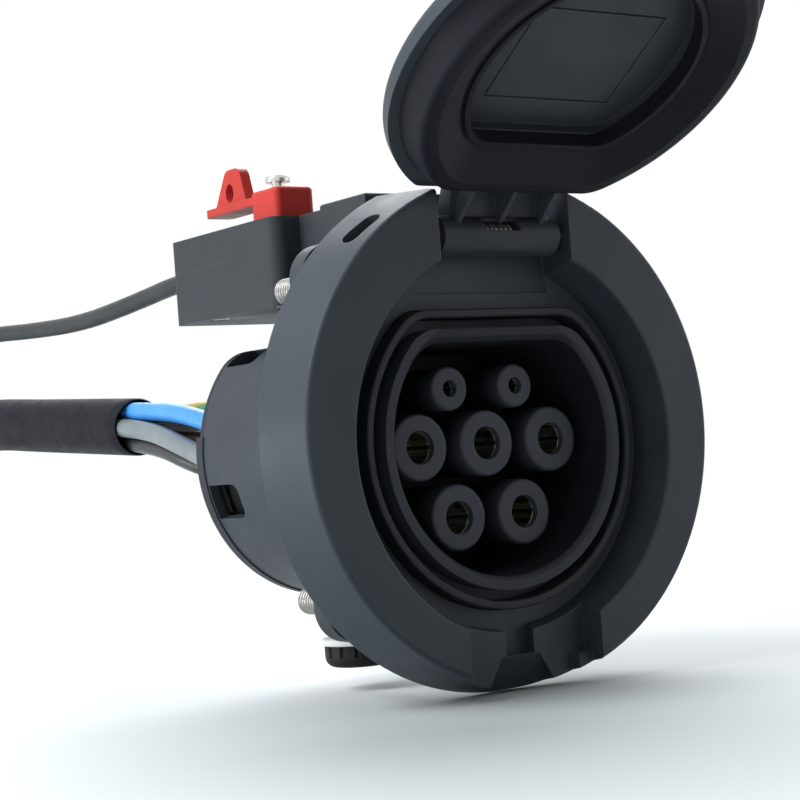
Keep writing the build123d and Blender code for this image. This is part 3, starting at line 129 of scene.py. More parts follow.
class Nodes:
    """A new material's node tree, with short calls to add nodes and links."""

    def __init__(self, name):
        self.material = bpy.data.materials.new(name)
        self.material.use_nodes = True
        self.tree = self.material.node_tree
        self.shader = self.tree.nodes["Principled BSDF"]
        self.coords = self.add("ShaderNodeTexCoord").outputs["Object"]

    def add(self, kind, **settings):
        node = self.tree.nodes.new(kind)
        for key, value in settings.items():
            setattr(node, key, value)
        return node

    def link(self, out, into):
        self.tree.links.new(out, into)

    def noise(self, scale, detail=3.0, stretch=None):
        noise = self.add("ShaderNodeTexNoise")
        noise.inputs["Scale"].default_value = scale
        noise.inputs["Detail"].default_value = detail
        if stretch:
            mapping = self.add("ShaderNodeMapping")
            mapping.inputs["Scale"].default_value = stretch
            self.link(self.coords, mapping.inputs["Vector"])
            self.link(mapping.outputs["Vector"], noise.inputs["Vector"])
        else:
            self.link(self.coords, noise.inputs["Vector"])
        return noise.outputs["Fac"]

    def spread(self, value, low, high, low_in=0.3, high_in=0.7):
        """Value mapped from low_in..high_in to low..high, and held there outside."""
        node = self.add("ShaderNodeMapRange")
        node.inputs["From Min"].default_value = low_in
        node.inputs["From Max"].default_value = high_in
        node.inputs["To Min"].default_value = low
        node.inputs["To Max"].default_value = high
        self.link(value, node.inputs["Value"])
        return node.outputs["Result"]

    def mix(self, factor, a, b):
        """Colour between a and b, each a colour or an output."""
        node = self.add("ShaderNodeMix", data_type="RGBA")
        self.link(factor, node.inputs["Factor"])
        for value, key in ((a, "A"), (b, "B")):
            socket = [s for s in node.inputs if s.name == key and s.type == "RGBA"][0]
            if hasattr(value, "node"):
                self.link(value, socket)
            else:
                socket.default_value = (*value, 1.0)
        return [s for s in node.outputs if s.type == "RGBA"][0]

    def bump(self, height, depth, normal=None):
        """Bump of a given depth, on top of another normal if there is one."""
        node = self.add("ShaderNodeBump")
        node.inputs["Distance"].default_value = depth
        self.link(height, node.inputs["Height"])
        if normal is not None:
            self.link(normal, node.inputs["Normal"])
        return node.outputs["Normal"]

    def rounded(self, radius):
        """Normal with every edge rounded off."""
        node = self.add("ShaderNodeBevel", samples=BEVEL_SAMPLES)
        node.inputs["Radius"].default_value = radius
        return node.outputs["Normal"]

    def edge_mask(self, radius):
        """0 on flat ground and up to 1 along edges."""
        round_normal = self.rounded(radius)
        plain = self.add("ShaderNodeNewGeometry").outputs["Normal"]
        dot = self.add("ShaderNodeVectorMath", operation="DOT_PRODUCT")
        self.link(round_normal, dot.inputs[0])
        self.link(plain, dot.inputs[1])
        return self.spread(dot.outputs["Value"], 1.0, 0.0, EDGE_SHARP, EDGE_FLAT)

    def set(self, name, value):
        self.shader.inputs[name].default_value = value


def tinted(colour, share):
    """The colour, lighter or darker."""
    return tuple(c * share for c in colour)


def moulded(name, colour, roughness=0.5, grain=2600.0, grain_depth=0.00003, edge_wear_and_highlight=2.3, edge=0.0003,
            specular=0.2, shade=None):
    """Moulded plastic: fine spark grain, soft mottling, uneven gloss, and paler edges that are partly rubbed
    wear and partly a painted highlight.

    shade paints shade into a deep place: (what it goes by, where it is dark, where it ends, share of the
    colour left).
    It goes by "Y", the station, or by "R", the distance from the contacts' axis.
    """
    m = Nodes(name)
    patches = m.noise(PATCH_SCALE, 4.0)
    base = m.mix(m.spread(patches, 0.0, 1.0), tinted(colour, 0.90), tinted(colour, 1.10))
    edges = m.edge_mask(edge * EDGE_WIDTH)
    speckle = m.spread(m.noise(SPECKLE_SCALE, 2.0), 0.25, 1.0)
    wear_and_highlight = m.add("ShaderNodeMath", operation="MULTIPLY")
    m.link(edges, wear_and_highlight.inputs[0])
    m.link(speckle, wear_and_highlight.inputs[1])
    # paler edges: rubbed wear, and a painted highlight along them
    base = m.mix(wear_and_highlight.outputs[0], base, tinted(colour, edge_wear_and_highlight))
    # painted shade in a deep place
    if shade:
        by, dark_at, ends_at, share = shade
        axes, offset, shift = PAINTED_SHADE_WAYS[by]
        place = m.add("ShaderNodeVectorMath", operation="MULTIPLY_ADD")
        m.link(m.coords, place.inputs[0])
        place.inputs[1].default_value = axes
        place.inputs[2].default_value = offset
        reach = m.add("ShaderNodeVectorMath", operation="LENGTH")
        m.link(place.outputs["Vector"], reach.inputs[0])
        clear = m.spread(reach.outputs["Value"], 0.0, 1.0, shift + dark_at, shift + ends_at)
        base = m.mix(clear, tinted(colour, share), base)
    m.link(base, m.shader.inputs["Base Color"])
    gloss = m.spread(m.noise(GLOSS_SCALE, 5.0), roughness - 0.06, roughness + 0.07)
    m.link(gloss, m.shader.inputs["Roughness"])
    m.set("Specular IOR Level", specular)
    normal = m.bump(m.noise(grain, 2.0), grain_depth, m.rounded(edge))
    m.link(normal, m.shader.inputs["Normal"])
    return m.material


def rubbery(name, colour, roughness=0.62, specular=0.25):
    """Soft matt rubber with a slightly pebbled skin and dusty patches."""
    m = Nodes(name)
    dust = m.spread(m.noise(DUST_SCALE, 5.0), 0.0, 0.35, 0.45, 0.75)
    m.link(m.mix(dust, colour, tinted(colour, 1.8)), m.shader.inputs["Base Color"])
    gloss = m.spread(m.noise(RUBBER_GLOSS_SCALE, 3.0), roughness - 0.07, roughness + 0.08)
    m.link(gloss, m.shader.inputs["Roughness"])
    m.set("Specular IOR Level", specular)
    normal = m.bump(m.noise(PEBBLE_SCALE, 3.0), PEBBLE_DEPTH, m.rounded(RUBBER_EDGE))
    m.link(normal, m.shader.inputs["Normal"])
    return m.material


def metal(name, colour, roughness=0.28, brushed=None, tarnish=0.75, painted_shade_reach=None):
    """Plated metal: cloudy plating, fine marks along one direction and softened edges.

    Hollows narrower than the given reach are darker, with painted shade.
    """
    m = Nodes(name)
    clouds = m.spread(m.noise(CLOUD_SCALE, 4.0), 0.0, 1.0)
    base = m.mix(clouds, tinted(colour, tarnish), colour)
    # painted shade in narrow hollows
    if painted_shade_reach:
        open_sky = m.add("ShaderNodeAmbientOcclusion", samples=6, only_local=True)
        open_sky.inputs["Distance"].default_value = painted_shade_reach
        clear = m.spread(open_sky.outputs["AO"], 0.0, 1.0, 0.35, 0.85)
        base = m.mix(clear, tinted(colour, CREVICE_SHADE_SHARE), base)
    m.link(base, m.shader.inputs["Base Color"])
    m.set("Metallic", 1.0)
    marks = m.noise(MARK_SCALE, 3.0, stretch=brushed or (1.0, 1.0, 1.0))
    m.link(m.spread(marks, roughness - 0.08, roughness + 0.12), m.shader.inputs["Roughness"])
    m.link(m.bump(marks, MARK_DEPTH, m.rounded(METAL_EDGE)), m.shader.inputs["Normal"])
    return m.material


def insulation(name, colour, stripe=None, ratio=0.0):
    """Wire insulation, smooth and slightly waxy, with a second colour in helical stripes if it has one."""
    m = Nodes(name)
    patches = m.spread(m.noise(WIRE_PATCH_SCALE, 3.0), 0.0, 1.0)
    base = m.mix(patches, tinted(colour, 0.9), tinted(colour, 1.08))
    if stripe:
        along = m.add("ShaderNodeUVMap").outputs["UV"]
        parts = m.add("ShaderNodeSeparateXYZ")
        m.link(along, parts.inputs["Vector"])
        wave = m.add("ShaderNodeMath", operation="FRACT")
        turn = m.add("ShaderNodeMath", operation="MULTIPLY_ADD")
        m.link(parts.outputs["Y"], turn.inputs[0])
        turn.inputs[1].default_value = STRIPE_TURNS_PER_M
        m.link(parts.outputs["X"], turn.inputs[2])
        m.link(turn.outputs[0], wave.inputs[0])
        edge = m.spread(wave.outputs[0], 0.0, 1.0, ratio - STRIPE_BLUR, ratio + STRIPE_BLUR)
        base = m.mix(edge, stripe, base)
    m.link(base, m.shader.inputs["Base Color"])
    m.link(m.spread(m.noise(WIRE_GLOSS_SCALE, 2.0), 0.34, 0.48), m.shader.inputs["Roughness"])
    m.set("Coat Weight", 0.15)
    m.set("Coat Roughness", 0.25)
    m.link(m.bump(m.noise(WIRE_SKIN_SCALE, 2.0), WIRE_SKIN_DEPTH), m.shader.inputs["Normal"])
    return m.material


def wound(name, colour, pitch):
    """Enamelled winding: fine turns side by side along Y."""
    m = Nodes(name)
    parts = m.add("ShaderNodeSeparateXYZ")
    m.link(m.coords, parts.inputs["Vector"])
    wave = m.add("ShaderNodeMath", operation="SINE")
    scale = m.add("ShaderNodeMath", operation="MULTIPLY")
    scale.inputs[1].default_value = 2 * pi / pitch
    m.link(parts.outputs["Y"], scale.inputs[0])
    m.link(scale.outputs[0], wave.inputs[0])
    # darker in the grooves between turns: painted shade
    m.link(m.mix(m.spread(wave.outputs[0], 0.0, 1.0, -1.0, 1.0), tinted(colour, 0.5), colour),
           m.shader.inputs["Base Color"])
    m.set("Metallic", 0.7)
    m.link(m.spread(m.noise(COIL_GLOSS_SCALE), 0.25, 0.4), m.shader.inputs["Roughness"])
    m.link(m.bump(wave.outputs[0], COIL_DEPTH), m.shader.inputs["Normal"])
    return m.material


BEZEL = (0.040, 0.051, 0.065)
HOUSING = (0.046, 0.053, 0.066)
LID = (0.052, 0.061, 0.074)
LID_PLUG = (0.013, 0.015, 0.021)
CARRIER = (0.068, 0.075, 0.094)
CASE = (0.034, 0.040, 0.047)
RED = (0.56, 0.040, 0.030)
BLUE = (0.058, 0.33, 0.86)
GREEN = (0.050, 0.36, 0.14)
YELLOW = (0.50, 0.34, 0.03)
BROWN = (0.10, 0.040, 0.020)
GREY = (0.19, 0.225, 0.235)
BLACK = (0.016, 0.017, 0.020)

materials = {
    "bezel": moulded("bezel_plastic", BEZEL, 0.46, edge=0.00025, specular=0.3),
    # painted shade on the walls of the contacts' well, inside the ring
    "housing": moulded("housing_plastic", HOUSING, 0.50, edge=0.0003, shade=("R", 0.0241, 0.0246, 0.4)),
    "seal": rubbery("seal_rubber", (0.022, 0.025, 0.030), 0.55),
    # painted shade on the tubes' sides, darker further back from their front faces
    "carrier": moulded("carrier_plastic", CARRIER, 0.38, grain_depth=0.000015, edge_wear_and_highlight=2.6, edge=0.0003,
                       shade=("Y", -0.002, -0.0068, 0.25)),
    "silver": metal("contact_silver", (0.62, 0.61, 0.54), 0.24, (1.0, 0.08, 1.0)),
    "zinc": metal("zinc_steel", (0.70, 0.70, 0.68), 0.27),
    # painted shade in the grooves of the studs' threads
    "stud": metal("zinc_steel_studs", (0.56, 0.55, 0.51), 0.33, painted_shade_reach=0.0006),
    "spring": metal("spring_steel", (0.50, 0.50, 0.50), 0.30),
    "retainer": moulded("retainer_plastic", (0.020, 0.022, 0.028), 0.5),
    # painted shade on the cap's skirt where it shows in the housing's windows; its rear lip keeps its colour
    "cap": moulded("cap_plastic", (0.036, 0.040, 0.048), 0.50, specular=0.12,
                  shade=("Y", 0.0453, 0.0457, 0.04)),
    "drain": rubbery("drain_rubber", (0.006, 0.007, 0.008), 0.6),
    "ring": moulded("ring_plastic", (0.72, 0.72, 0.70), 0.35, edge_wear_and_highlight=1.1, grain_depth=0.00001),
    "lid": moulded("lid_plastic", LID, 0.46, edge=0.0003),
    "lid_plug": moulded("lid_plug_plastic", LID_PLUG, 0.52, edge=0.0003, specular=0.12),
    "case": moulded("case_plastic", CASE, 0.52, grain=3400.0, grain_depth=0.00004, edge=0.00025),
    "slide": moulded("slide_plastic", (0.70, 0.70, 0.66), 0.45, edge_wear_and_highlight=1.1),
    "red": moulded("red_plastic", RED, 0.34, grain_depth=0.00001, edge_wear_and_highlight=1.25, edge=0.00025),
    "winding": wound("coil_winding", (0.60, 0.24, 0.09), COIL_PITCH),
    "switch": moulded("switch_plastic", (0.05, 0.05, 0.05), 0.5),
    "sheath": rubbery("sheath_rubber", (0.009, 0.0105, 0.015), 0.58, 0.12),
    "lock_cable": rubbery("lock_cable_pvc", (0.024, 0.029, 0.032), 0.42),
    "signal": insulation("signal_pvc", (0.10, 0.10, 0.11)),
    "copper": metal("copper", (0.80, 0.42, 0.26), 0.3, (1.0, 0.1, 1.0)),
    "blue": insulation("wire_blue", BLUE),
    "green_yellow": insulation("wire_green_yellow", GREEN, YELLOW, STRIPE_SHARE),
    "brown": insulation("wire_brown", BROWN),
    "black": insulation("wire_black", BLACK),
    "grey": insulation("wire_grey", GREY),
}

finishes = {
    "front_bezel": "bezel", "flange_gasket": "seal", "flange_screws": "zinc", "mounting_studs": "stud",
    "socket_housing": "housing", "face_seal": "seal", "contact_carrier": "carrier",
    "contact_tubes": "carrier", "power_contacts": "silver", "signal_contacts": "silver",
    "contact_retainer": "retainer", "retainer_screws": "zinc", "rear_cap": "cap", "drain_cap": "drain",
    "drain_ring": "ring", "lid_shell": "lid", "lid_plug": "lid_plug", "hinge_pin": "zinc",
    "lid_spring": "spring", "lock_case_lower": "case", "lock_case_upper": "case", "case_screws": "zinc",
    "case_fixing_screws": "zinc", "lock_slide": "slide", "lock_pin": "zinc", "lock_cross_pin": "zinc",
    "coil_plunger": "zinc", "coil_frame": "zinc", "lock_coil": "winding", "lock_switch": "switch",
    "release_shaft": "zinc", "release_lever": "red", "lever_screw": "zinc",
    "lock_cable_grommet": "seal", "conductor_ends": "copper",
}


def finish_nodes():
    for node, finish in finishes.items():
        mesh = nodes[node].data
        mesh.materials.clear()
        mesh.materials.append(materials[finish])


# Pieces built here

def new_piece(name, vertices, faces, finish):
    """A smooth mesh that rides on the fixed body. Nothing built here moves with a joint."""
    mesh = bpy.data.meshes.new(name)
    mesh.from_pydata(vertices, [], faces)
    mesh.update()
    mesh.shade_smooth()
    piece = bpy.data.objects.new(name, mesh)
    bpy.context.scene.collection.objects.link(piece)
    mesh.materials.append(materials[finish])
    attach(piece, "base")
    return piece


THREAD_SIDES = 30
THREAD_ROWS_PER_TURN = 8
THREAD_DEPTH = 0.55     # of the pitch
THREAD_FLANK = 2.6      # steepness of the groove's flanks
STUD_PITCH = 0.8 * MM
STUD_SHANK_R = 2.7 * MM
STUD_CHAMFER = 0.5 * MM


def threaded_rod(radius, shank_r, pitch, y0, y1, x, z, chamfer):
    """Closed rod along Y, plain up to the flange's rear face and threaded behind it."""
    rows = int((y1 - y0) / pitch * THREAD_ROWS_PER_TURN)
    vertices = []
    for i in range(rows + 1):
        y = y0 + (y1 - y0) * i / rows
        shrink = max(0.0, y - (y1 - chamfer))
        for j in range(THREAD_SIDES):
            angle = 2 * pi * j / THREAD_SIDES
            phase = ((y / pitch) - j / THREAD_SIDES) % 1.0
            cut = max(0.0, 1.0 - abs(phase - 0.5) * THREAD_FLANK) * THREAD_DEPTH * pitch
            r = shank_r if y < 0 else min(radius - cut, radius - shrink)
            vertices.append((x + r * cos(angle), y, z + r * sin(angle)))
    faces = []
    for i in range(rows):
        for j in range(THREAD_SIDES):
            k = (j + 1) % THREAD_SIDES
            a = i * THREAD_SIDES
            b = a + THREAD_SIDES
            faces.append((a + j, b + j, b + k, a + k))
    faces.append(tuple(range(THREAD_SIDES)))
    faces.append(tuple(rows * THREAD_SIDES + j for j in reversed(range(THREAD_SIDES))))
    return vertices, faces


def make_studs():
    pattern = next(m for m in frame["record"]["mounts"] if m["name"] == "panel_studs")
    dims = pattern["dims"]
    low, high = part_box("mounting_studs")
    vertices = []
    faces = []
    for sx in (-1, 1):
        for sz in (-1, 1):
            rod, sides = threaded_rod(dims["stud_r_mm"] * MM, STUD_SHANK_R, STUD_PITCH, low.y, high.y,
                                      sx * dims["spacing_x_mm"] * MM / 2, sz * dims["spacing_y_mm"] * MM / 2,
                                      STUD_CHAMFER)
            first = len(vertices)
            vertices += rod
            faces += [tuple(first + i for i in side) for side in sides]
    studs = new_piece("threaded_studs", vertices, faces, "stud")
    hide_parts("mounting_studs")


# Cables and wires. Routes are centrelines in metres.

ROUTE_STEPS = 14        # points between two of a route's control points


def curve_points(points):
    """Points of the smooth line that a route's control points give."""
    data = bpy.data.curves.new("route", "CURVE")
    data.dimensions = "3D"
    data.resolution_u = ROUTE_STEPS
    spline = data.splines.new("NURBS")
    spline.points.add(len(points) - 1)
    for place, point in zip(spline.points, points):
        place.co = (*point, 1.0)
    spline.order_u = 3
    spline.use_endpoint_u = True
    route = bpy.data.objects.new("route", data)
    line = bpy.data.meshes.new_from_object(route)
    path = [Vector(v.co) for v in line.vertices]
    bpy.data.objects.remove(route)
    bpy.data.meshes.remove(line)
    return path


def frames_along(path):
    """Directions and a side vector at each point of a path, turning as little as possible."""
    ahead = [(path[min(i + 1, len(path) - 1)] - path[max(i - 1, 0)]).normalized() for i in range(len(path))]
    side = ahead[0].orthogonal().normalized()
    frames = []
    for direction in ahead:
        side = (side - direction * side.dot(direction)).normalized()
        frames.append((side, direction.cross(side)))
    return frames


MOUTH_LIP = 0.3 * MM


def tube_mesh(name, path, radius, finish, sides=24, mouth=None, skin=None):
    """Closed tube along a path, with a UV of turn and length.

    mouth is (radius, depth) of a hollow in each end. skin gives a share of the radius to add, from the
    angle and the length.
    """
    frames = frames_along(path)
    along = [0.0]
    for a, b in zip(path, path[1:]):
        along.append(along[-1] + (b - a).length)
    rings = [(p, f, radius, s) for p, f, s in zip(path, frames, along)]
    if mouth:
        inner_r, deep = mouth
        lip = MOUTH_LIP
        first = (path[0] - path[1]).normalized()
        last = (path[-1] - path[-2]).normalized()
        rings[0] = (path[0] - first * lip, frames[0], radius, 0.0)
        rings[-1] = (path[-1] - last * lip, frames[-1], radius, along[-1])
        head = [(path[0] - first * deep, frames[0], inner_r, 0.0),
                (path[0] - first * lip, frames[0], inner_r, 0.0),
                (path[0], frames[0], inner_r + lip, 0.0), (path[0], frames[0], radius - lip, 0.0)]
        foot = [(path[-1], frames[-1], radius - lip, 0.0), (path[-1], frames[-1], inner_r + lip, 0.0),
                (path[-1] - last * lip, frames[-1], inner_r, 0.0),
                (path[-1] - last * deep, frames[-1], inner_r, 0.0)]
        rings = head + rings + foot
    vertices = []
    for place, (side, up), r, s in rings:
        for j in range(sides):
            angle = 2 * pi * j / sides
            reach = r * (1 + skin(angle, s)) if skin else r
            vertices.append(place + (side * cos(angle) + up * sin(angle)) * reach)
    faces = []
    turns = []
    for i in range(len(rings) - 1):
        for j in range(sides):
            k = (j + 1) % sides
            faces.append((i * sides + j, i * sides + k, (i + 1) * sides + k, (i + 1) * sides + j))
            turns.append(((j / sides, rings[i][3]), ((j + 1) / sides, rings[i][3]),
                          ((j + 1) / sides, rings[i + 1][3]), (j / sides, rings[i + 1][3])))
    faces.append(tuple(reversed(range(sides))))
    turns.append(((0.0, 0.0),) * sides)
    faces.append(tuple((len(rings) - 1) * sides + j for j in range(sides)))
    turns.append(((0.0, rings[-1][3]),) * sides)
    piece = new_piece(name, vertices, faces, finish)
    layer = piece.data.uv_layers.new(name="UVMap")
    for polygon, corners in zip(piece.data.polygons, turns):
        for loop, corner in zip(polygon.loop_indices, corners):
            layer.data[loop].uv = corner
    return piece


SHEATH_D = 0.0131
WIRE_D = 0.0042
SIGNAL_D = 0.0018
LOCK_CABLE_D = 0.0038
SHEATH_MOUTH = (0.0060, 0.0040)

sheath_route = [(-0.008, 0.110, 0.0082), (-0.0088, 0.152, 0.011), (-0.010, 0.196, 0.0142),
                (-0.012, 0.240, 0.006), (-0.017, 0.286, -0.022), (-0.025, 0.332, -0.040),
                (-0.030, 0.380, -0.0404), (-0.024, 0.427, -0.0404)]
lock_cable_route = [(-0.0155, 0.0614, 0.037), (-0.0155, 0.072, 0.037), (-0.0158, 0.094, 0.0348),
                    (-0.0162, 0.118, 0.033), (-0.017, 0.143, 0.0336), (-0.019, 0.168, 0.035),
                    (-0.023, 0.192, 0.029), (-0.028, 0.212, 0.009), (-0.032, 0.231, -0.015),
                    (-0.035, 0.252, -0.037), (-0.0385, 0.277, -0.0451), (-0.036, 0.304, -0.0451)]

LAY_R = 0.00375         # the power wires' distance from the sheath's axis
SIGNAL_LAY_R = 0.0051   # and the outer signal wire's
TAIL_LENGTH = 0.026
TAIL_MIDDLE = 0.4       # of that length, where the tails start to spread
TAIL_FAN = 1.8          # how far they spread, of their distance from the axis
TAIL_SWAY = 0.0008
RUN_IN = 0.009          # the wires run straight over this length into the sheath
BARREL_FLOOR_Y = 0.0307
BARREL_RUN = 0.015
power_lay = {"blue": 108, "green_yellow": 36, "brown": -36, "black": -108, "grey": 180}
wire_ends = {"brown": "power_bore_right", "green_yellow": "power_bore_middle", "blue": "power_bore_left",
             "black": "power_bore_low_right", "grey": "power_bore_low_left"}
wire_bows = {"brown": [(0.008, 0.062, -0.001), (0.001, 0.084, 0.003)],
             "green_yellow": [(-0.0015, 0.062, 0.0075), (-0.0035, 0.083, 0.0105)],
             "blue": [(-0.0094, 0.060, 0.003), (-0.0096, 0.084, 0.0096)],
             "black": [(0.003, 0.060, -0.009), (-0.0082, 0.082, -0.0024)],
             "grey": [(-0.0086, 0.058, -0.0075), (-0.012, 0.082, 0.0024)]}
signal_lay = {"signal_bore_left": (SIGNAL_LAY_R, -72.0), "signal_bore_right": (0.0, 0.0)}
signal_bows = {"signal_bore_left": [(-0.004, 0.062, 0.001), (-0.0034, 0.083, 0.0014)],
               "signal_bore_right": [(0.004, 0.062, 0.005), (-0.004, 0.083, 0.0064)]}


def sheath_end(end, along, across):
    """Axes at one end of the sheath: place, x near to across, y, and z along the cable's run."""
    z = along.normalized()
    x = (across - z * across.dot(z)).normalized()
    return Vector(end), x, z.cross(x), z


def in_lay(at, lay, along):
    """Place of a wire with a given lay in the sheath, some way along from its end."""
    place, x, y, z = at
    return place + x * lay[0] - y * lay[1] + z * along


near_run_in = Vector(sheath_route[1]) - Vector(sheath_route[0])
near = sheath_end(sheath_route[0], near_run_in, Vector((1, 0, 0)))
far_run_out = Vector(sheath_route[-1]) - Vector(sheath_route[-2])
far = sheath_end(sheath_route[-1], far_run_out, far_run_out.cross(Vector((0, 0, 1))))


def polar(radius, degrees):
    return radius * cos(radians(degrees)), radius * sin(radians(degrees))


def mount_place(name):
    return next(m for m in frame["record"]["mounts"] if m["name"] == name)["pos_m"]


def near_run(name, bows, lay):
    """Route of a wire from its contact's barrel into the sheath."""
    x, _, z = mount_place(name)
    return [(x, BARREL_FLOOR_Y, z), (x, BARREL_FLOOR_Y + BARREL_RUN, z), *bows,
            in_lay(near, lay, -RUN_IN), in_lay(near, lay, SHEATH_MOUTH[1])]


def tail(lay):
    """Route of a wire out of the sheath's far end."""
    tip = (lay[0] * TAIL_FAN + TAIL_SWAY, lay[1])
    return [in_lay(far, lay, -SHEATH_MOUTH[1]), in_lay(far, lay, TAIL_LENGTH * TAIL_MIDDLE),
            in_lay(far, tip, TAIL_LENGTH)]


def make_wires():
    """The seven wires between the contacts and the sheath, and their tails at its far end."""
    tails = []
    for name, angle in power_lay.items():
        lay = polar(LAY_R, angle)
        path = curve_points(near_run(wire_ends[name], wire_bows[name], lay))
        wire = tube_mesh("core_" + name, path, WIRE_D / 2, name)
        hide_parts("wire_" + name)
        end = tube_mesh("core_tail_" + name, curve_points(tail(lay)), WIRE_D / 2, name)
        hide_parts("tail_" + name)
        tails.append(end)
    for i, (name, lay) in enumerate(signal_lay.items()):
        lay = polar(*lay)
        path = curve_points(near_run(name, signal_bows[name], lay))
        wire = tube_mesh("core_" + name, path, SIGNAL_D / 2, "signal", sides=16)
        end = tube_mesh("tail_" + name, curve_points(tail(lay)), SIGNAL_D / 2, "signal",
                        sides=16)
        if i == 0:
            # One node stands for both wires, so only the first piece replaces it.
            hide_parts("signal_wires")
            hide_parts("signal_tails")
        tails.append(end)
    return tails


CORES_IN_SKIN = 5
CORE_RISE = 0.006       # of the sheath's radius
CORE_TWIST = 60         # radians per metre
SLOW_RISE = 0.004
SLOW_TURN = 95


def sheath_skin(angle, s):
    """Faint twist of the cores showing through the sheath, and a slow wave that turns round it."""
    cores = CORE_RISE * sin(CORES_IN_SKIN * angle + s * CORE_TWIST)
    return cores + SLOW_RISE * sin(s * SLOW_TURN + angle)


def make_cables(tails):
    path = curve_points(sheath_route)
    sheath = tube_mesh("cable_sheath", path, SHEATH_D / 2, "sheath", sides=48,
                       mouth=SHEATH_MOUTH, skin=sheath_skin)
    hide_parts("supply_cable")
    path = curve_points(lock_cable_route)
    cable = tube_mesh("lock_lead", path, LOCK_CABLE_D / 2, "lock_cable")
    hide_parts("lock_cable")


# Studio

FLOOR_COLOUR = (0.90, 0.925, 0.93)
FLOOR_PAINTED_SHADOW = (0.56, 0.62, 0.63)        # painted shadow on the tabletop in front, within the radius below of the place below
FLOOR_PAINTED_SHADOW_PLACE = (-0.032, -0.045, -0.047)
FLOOR_PAINTED_SHADOW_R = 0.085
FLOOR_DARK_SIDE = (0.7, -0.7, 0.0)      # direction in which the floor gives less light to other surfaces
FLOOR_BOUNCE = 0.28                     # share of its colour that it gives them there
FLOOR_BOUNCE_EDGE = 0.06
FLOOR_FADE_NEAR = 0.30                  # the floor turns to plain white between these distances
FLOOR_FADE_FAR = 0.75
FLOOR_HALF = 4.0
DARK_SIDE = (0.15, -0.93, -0.33)        # direction in which the world gives less light
DARK_FROM = -0.35                       # how far a direction agrees with that one, where it starts
DARK_FULL = 0.75                        # and where it ends
AMBIENT_BRIGHT = 0.56
AMBIENT_DARK = 0.03


def shown_rays(tree):
    """1 for the rays that show the background: from the camera, in reflections and through clear things."""
    path = tree.nodes.new("ShaderNodeLightPath")
    seen = tree.nodes.new("ShaderNodeMath")
    seen.operation = "MAXIMUM"
    tree.links.new(path.outputs["Is Camera Ray"], seen.inputs[0])
    tree.links.new(path.outputs["Is Glossy Ray"], seen.inputs[1])
    shown = tree.nodes.new("ShaderNodeMath")
    shown.operation = "MAXIMUM"
    tree.links.new(seen.outputs[0], shown.inputs[0])
    tree.links.new(path.outputs["Is Transmission Ray"], shown.inputs[1])
    return shown.outputs[0]


def make_floor():
    """Tabletop that the bezel stands on, with a painted shadow in front of the part, turning to plain white
    far out.
    """
    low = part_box("front_bezel")[0].z
    m = Nodes("floor")
    seen = shown_rays(m.tree)
    toward = m.add("ShaderNodeVectorMath", operation="DOT_PRODUCT")
    m.link(m.coords, toward.inputs[0])
    toward.inputs[1].default_value = FLOOR_DARK_SIDE
    darkness = m.spread(toward.outputs["Value"], 0.0, 1.0, -FLOOR_BOUNCE_EDGE, FLOOR_BOUNCE_EDGE)
    bounce = m.mix(darkness, FLOOR_COLOUR, tinted(FLOOR_COLOUR, FLOOR_BOUNCE))
    # painted shadow on the tabletop, darker near a place in front of the part
    apart = m.add("ShaderNodeVectorMath", operation="DISTANCE")
    m.link(m.coords, apart.inputs[0])
    apart.inputs[1].default_value = FLOOR_PAINTED_SHADOW_PLACE
    clear = m.spread(apart.outputs["Value"], 0.0, 1.0, 0.0, FLOOR_PAINTED_SHADOW_R)
    shown = m.mix(clear, FLOOR_PAINTED_SHADOW, FLOOR_COLOUR)
    m.link(m.mix(seen, bounce, shown), m.shader.inputs["Base Color"])
    m.set("Roughness", 0.75)
    m.set("Specular IOR Level", 0.2)
    white = m.add("ShaderNodeEmission")
    distance = m.add("ShaderNodeVectorMath", operation="LENGTH")
    m.link(m.coords, distance.inputs[0])
    fade = m.spread(distance.outputs["Value"], 0.0, 1.0, FLOOR_FADE_NEAR, FLOOR_FADE_FAR)
    share = m.add("ShaderNodeMath", operation="MULTIPLY")
    m.link(fade, share.inputs[0])
    m.link(seen, share.inputs[1])
    mixed = m.add("ShaderNodeMixShader")
    m.link(share.outputs[0], mixed.inputs[0])
    m.link(m.shader.outputs[0], mixed.inputs[1])
    m.link(white.outputs[0], mixed.inputs[2])
    m.link(mixed.outputs[0], m.tree.nodes["Material Output"].inputs["Surface"])
    h = FLOOR_HALF
    mesh = bpy.data.meshes.new("floor")
    mesh.from_pydata([(-h, -h, low), (h, -h, low), (h, h, low), (-h, h, low)], [], [(0, 1, 2, 3)])
    mesh.materials.append(m.material)
    floor = bpy.data.objects.new("floor", mesh)
    bpy.context.scene.collection.objects.link(floor)


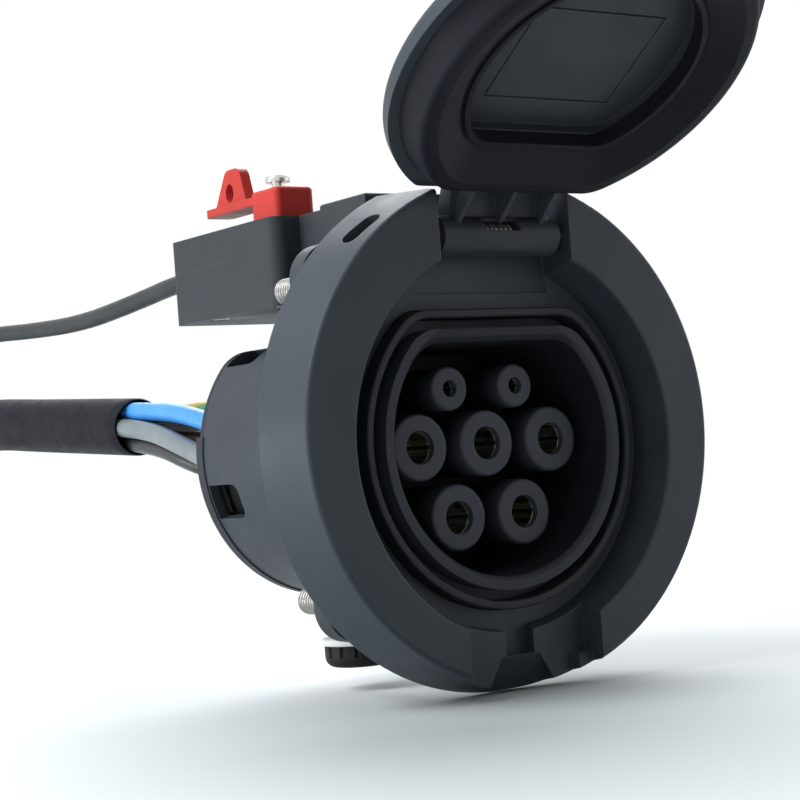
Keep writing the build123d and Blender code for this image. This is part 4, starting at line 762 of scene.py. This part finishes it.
def make_world():
    """White to the camera and in reflections, and darker towards the front right in the light it gives."""
    world = bpy.data.worlds.new("studio")
    bpy.context.scene.world = world
    world.use_nodes = True
    tree = world.node_tree
    tree.nodes.clear()
    coords = tree.nodes.new("ShaderNodeTexCoord")
    toward = tree.nodes.new("ShaderNodeVectorMath")
    toward.operation = "DOT_PRODUCT"
    toward.inputs[1].default_value = DARK_SIDE
    tree.links.new(coords.outputs["Generated"], toward.inputs[0])
    shade = tree.nodes.new("ShaderNodeMapRange")
    shade.inputs["From Min"].default_value = DARK_FROM
    shade.inputs["From Max"].default_value = DARK_FULL
    shade.inputs["To Min"].default_value = AMBIENT_BRIGHT
    shade.inputs["To Max"].default_value = AMBIENT_DARK
    tree.links.new(toward.outputs["Value"], shade.inputs["Value"])
    lit = tree.nodes.new("ShaderNodeBackground")
    lit.inputs["Color"].default_value = (*COOL, 1.0)
    tree.links.new(shade.outputs["Result"], lit.inputs["Strength"])
    white = tree.nodes.new("ShaderNodeBackground")
    white.inputs["Color"].default_value = (1.0, 1.0, 1.0, 1.0)
    mixed = tree.nodes.new("ShaderNodeMixShader")
    tree.links.new(shown_rays(tree), mixed.inputs[0])
    tree.links.new(lit.outputs[0], mixed.inputs[1])
    tree.links.new(white.outputs[0], mixed.inputs[2])
    out = tree.nodes.new("ShaderNodeOutputWorld")
    tree.links.new(mixed.outputs[0], out.inputs["Surface"])


def softbox(name, place, aim, size, power):
    data = bpy.data.lights.new(name, "AREA")
    data.shape = "RECTANGLE"
    data.size, data.size_y = size
    data.energy = power
    data.color = COOL
    lamp = bpy.data.objects.new(name, data)
    lamp.location = place
    lamp.rotation_euler = (Vector(aim) - Vector(place)).to_track_quat("-Z", "Y").to_euler()
    bpy.context.scene.collection.objects.link(lamp)


def make_lights():
    softbox("back_box", (0.45, 0.50, 0.64), (0, 0, 0), (0.8, 0.7), 6.4)
    softbox("left_box", (-0.66, 0.14, 0.60), (0, 0, 0), (0.5, 0.5), 5.6)
    softbox("low_box", (-0.60, 0.30, -0.02), (0, 0, -0.02), (0.6, 0.05), 1.3)
    softbox("front_box", (0.85, -0.40, 0.16), (0, 0, 0), (0.3, 0.4), 0.6)


scene = bpy.context.scene
scene.view_settings.view_transform = "Standard"
make_camera()
finish_nodes()
make_studs()
make_cables(make_wires())
make_floor()
make_world()
make_lights()
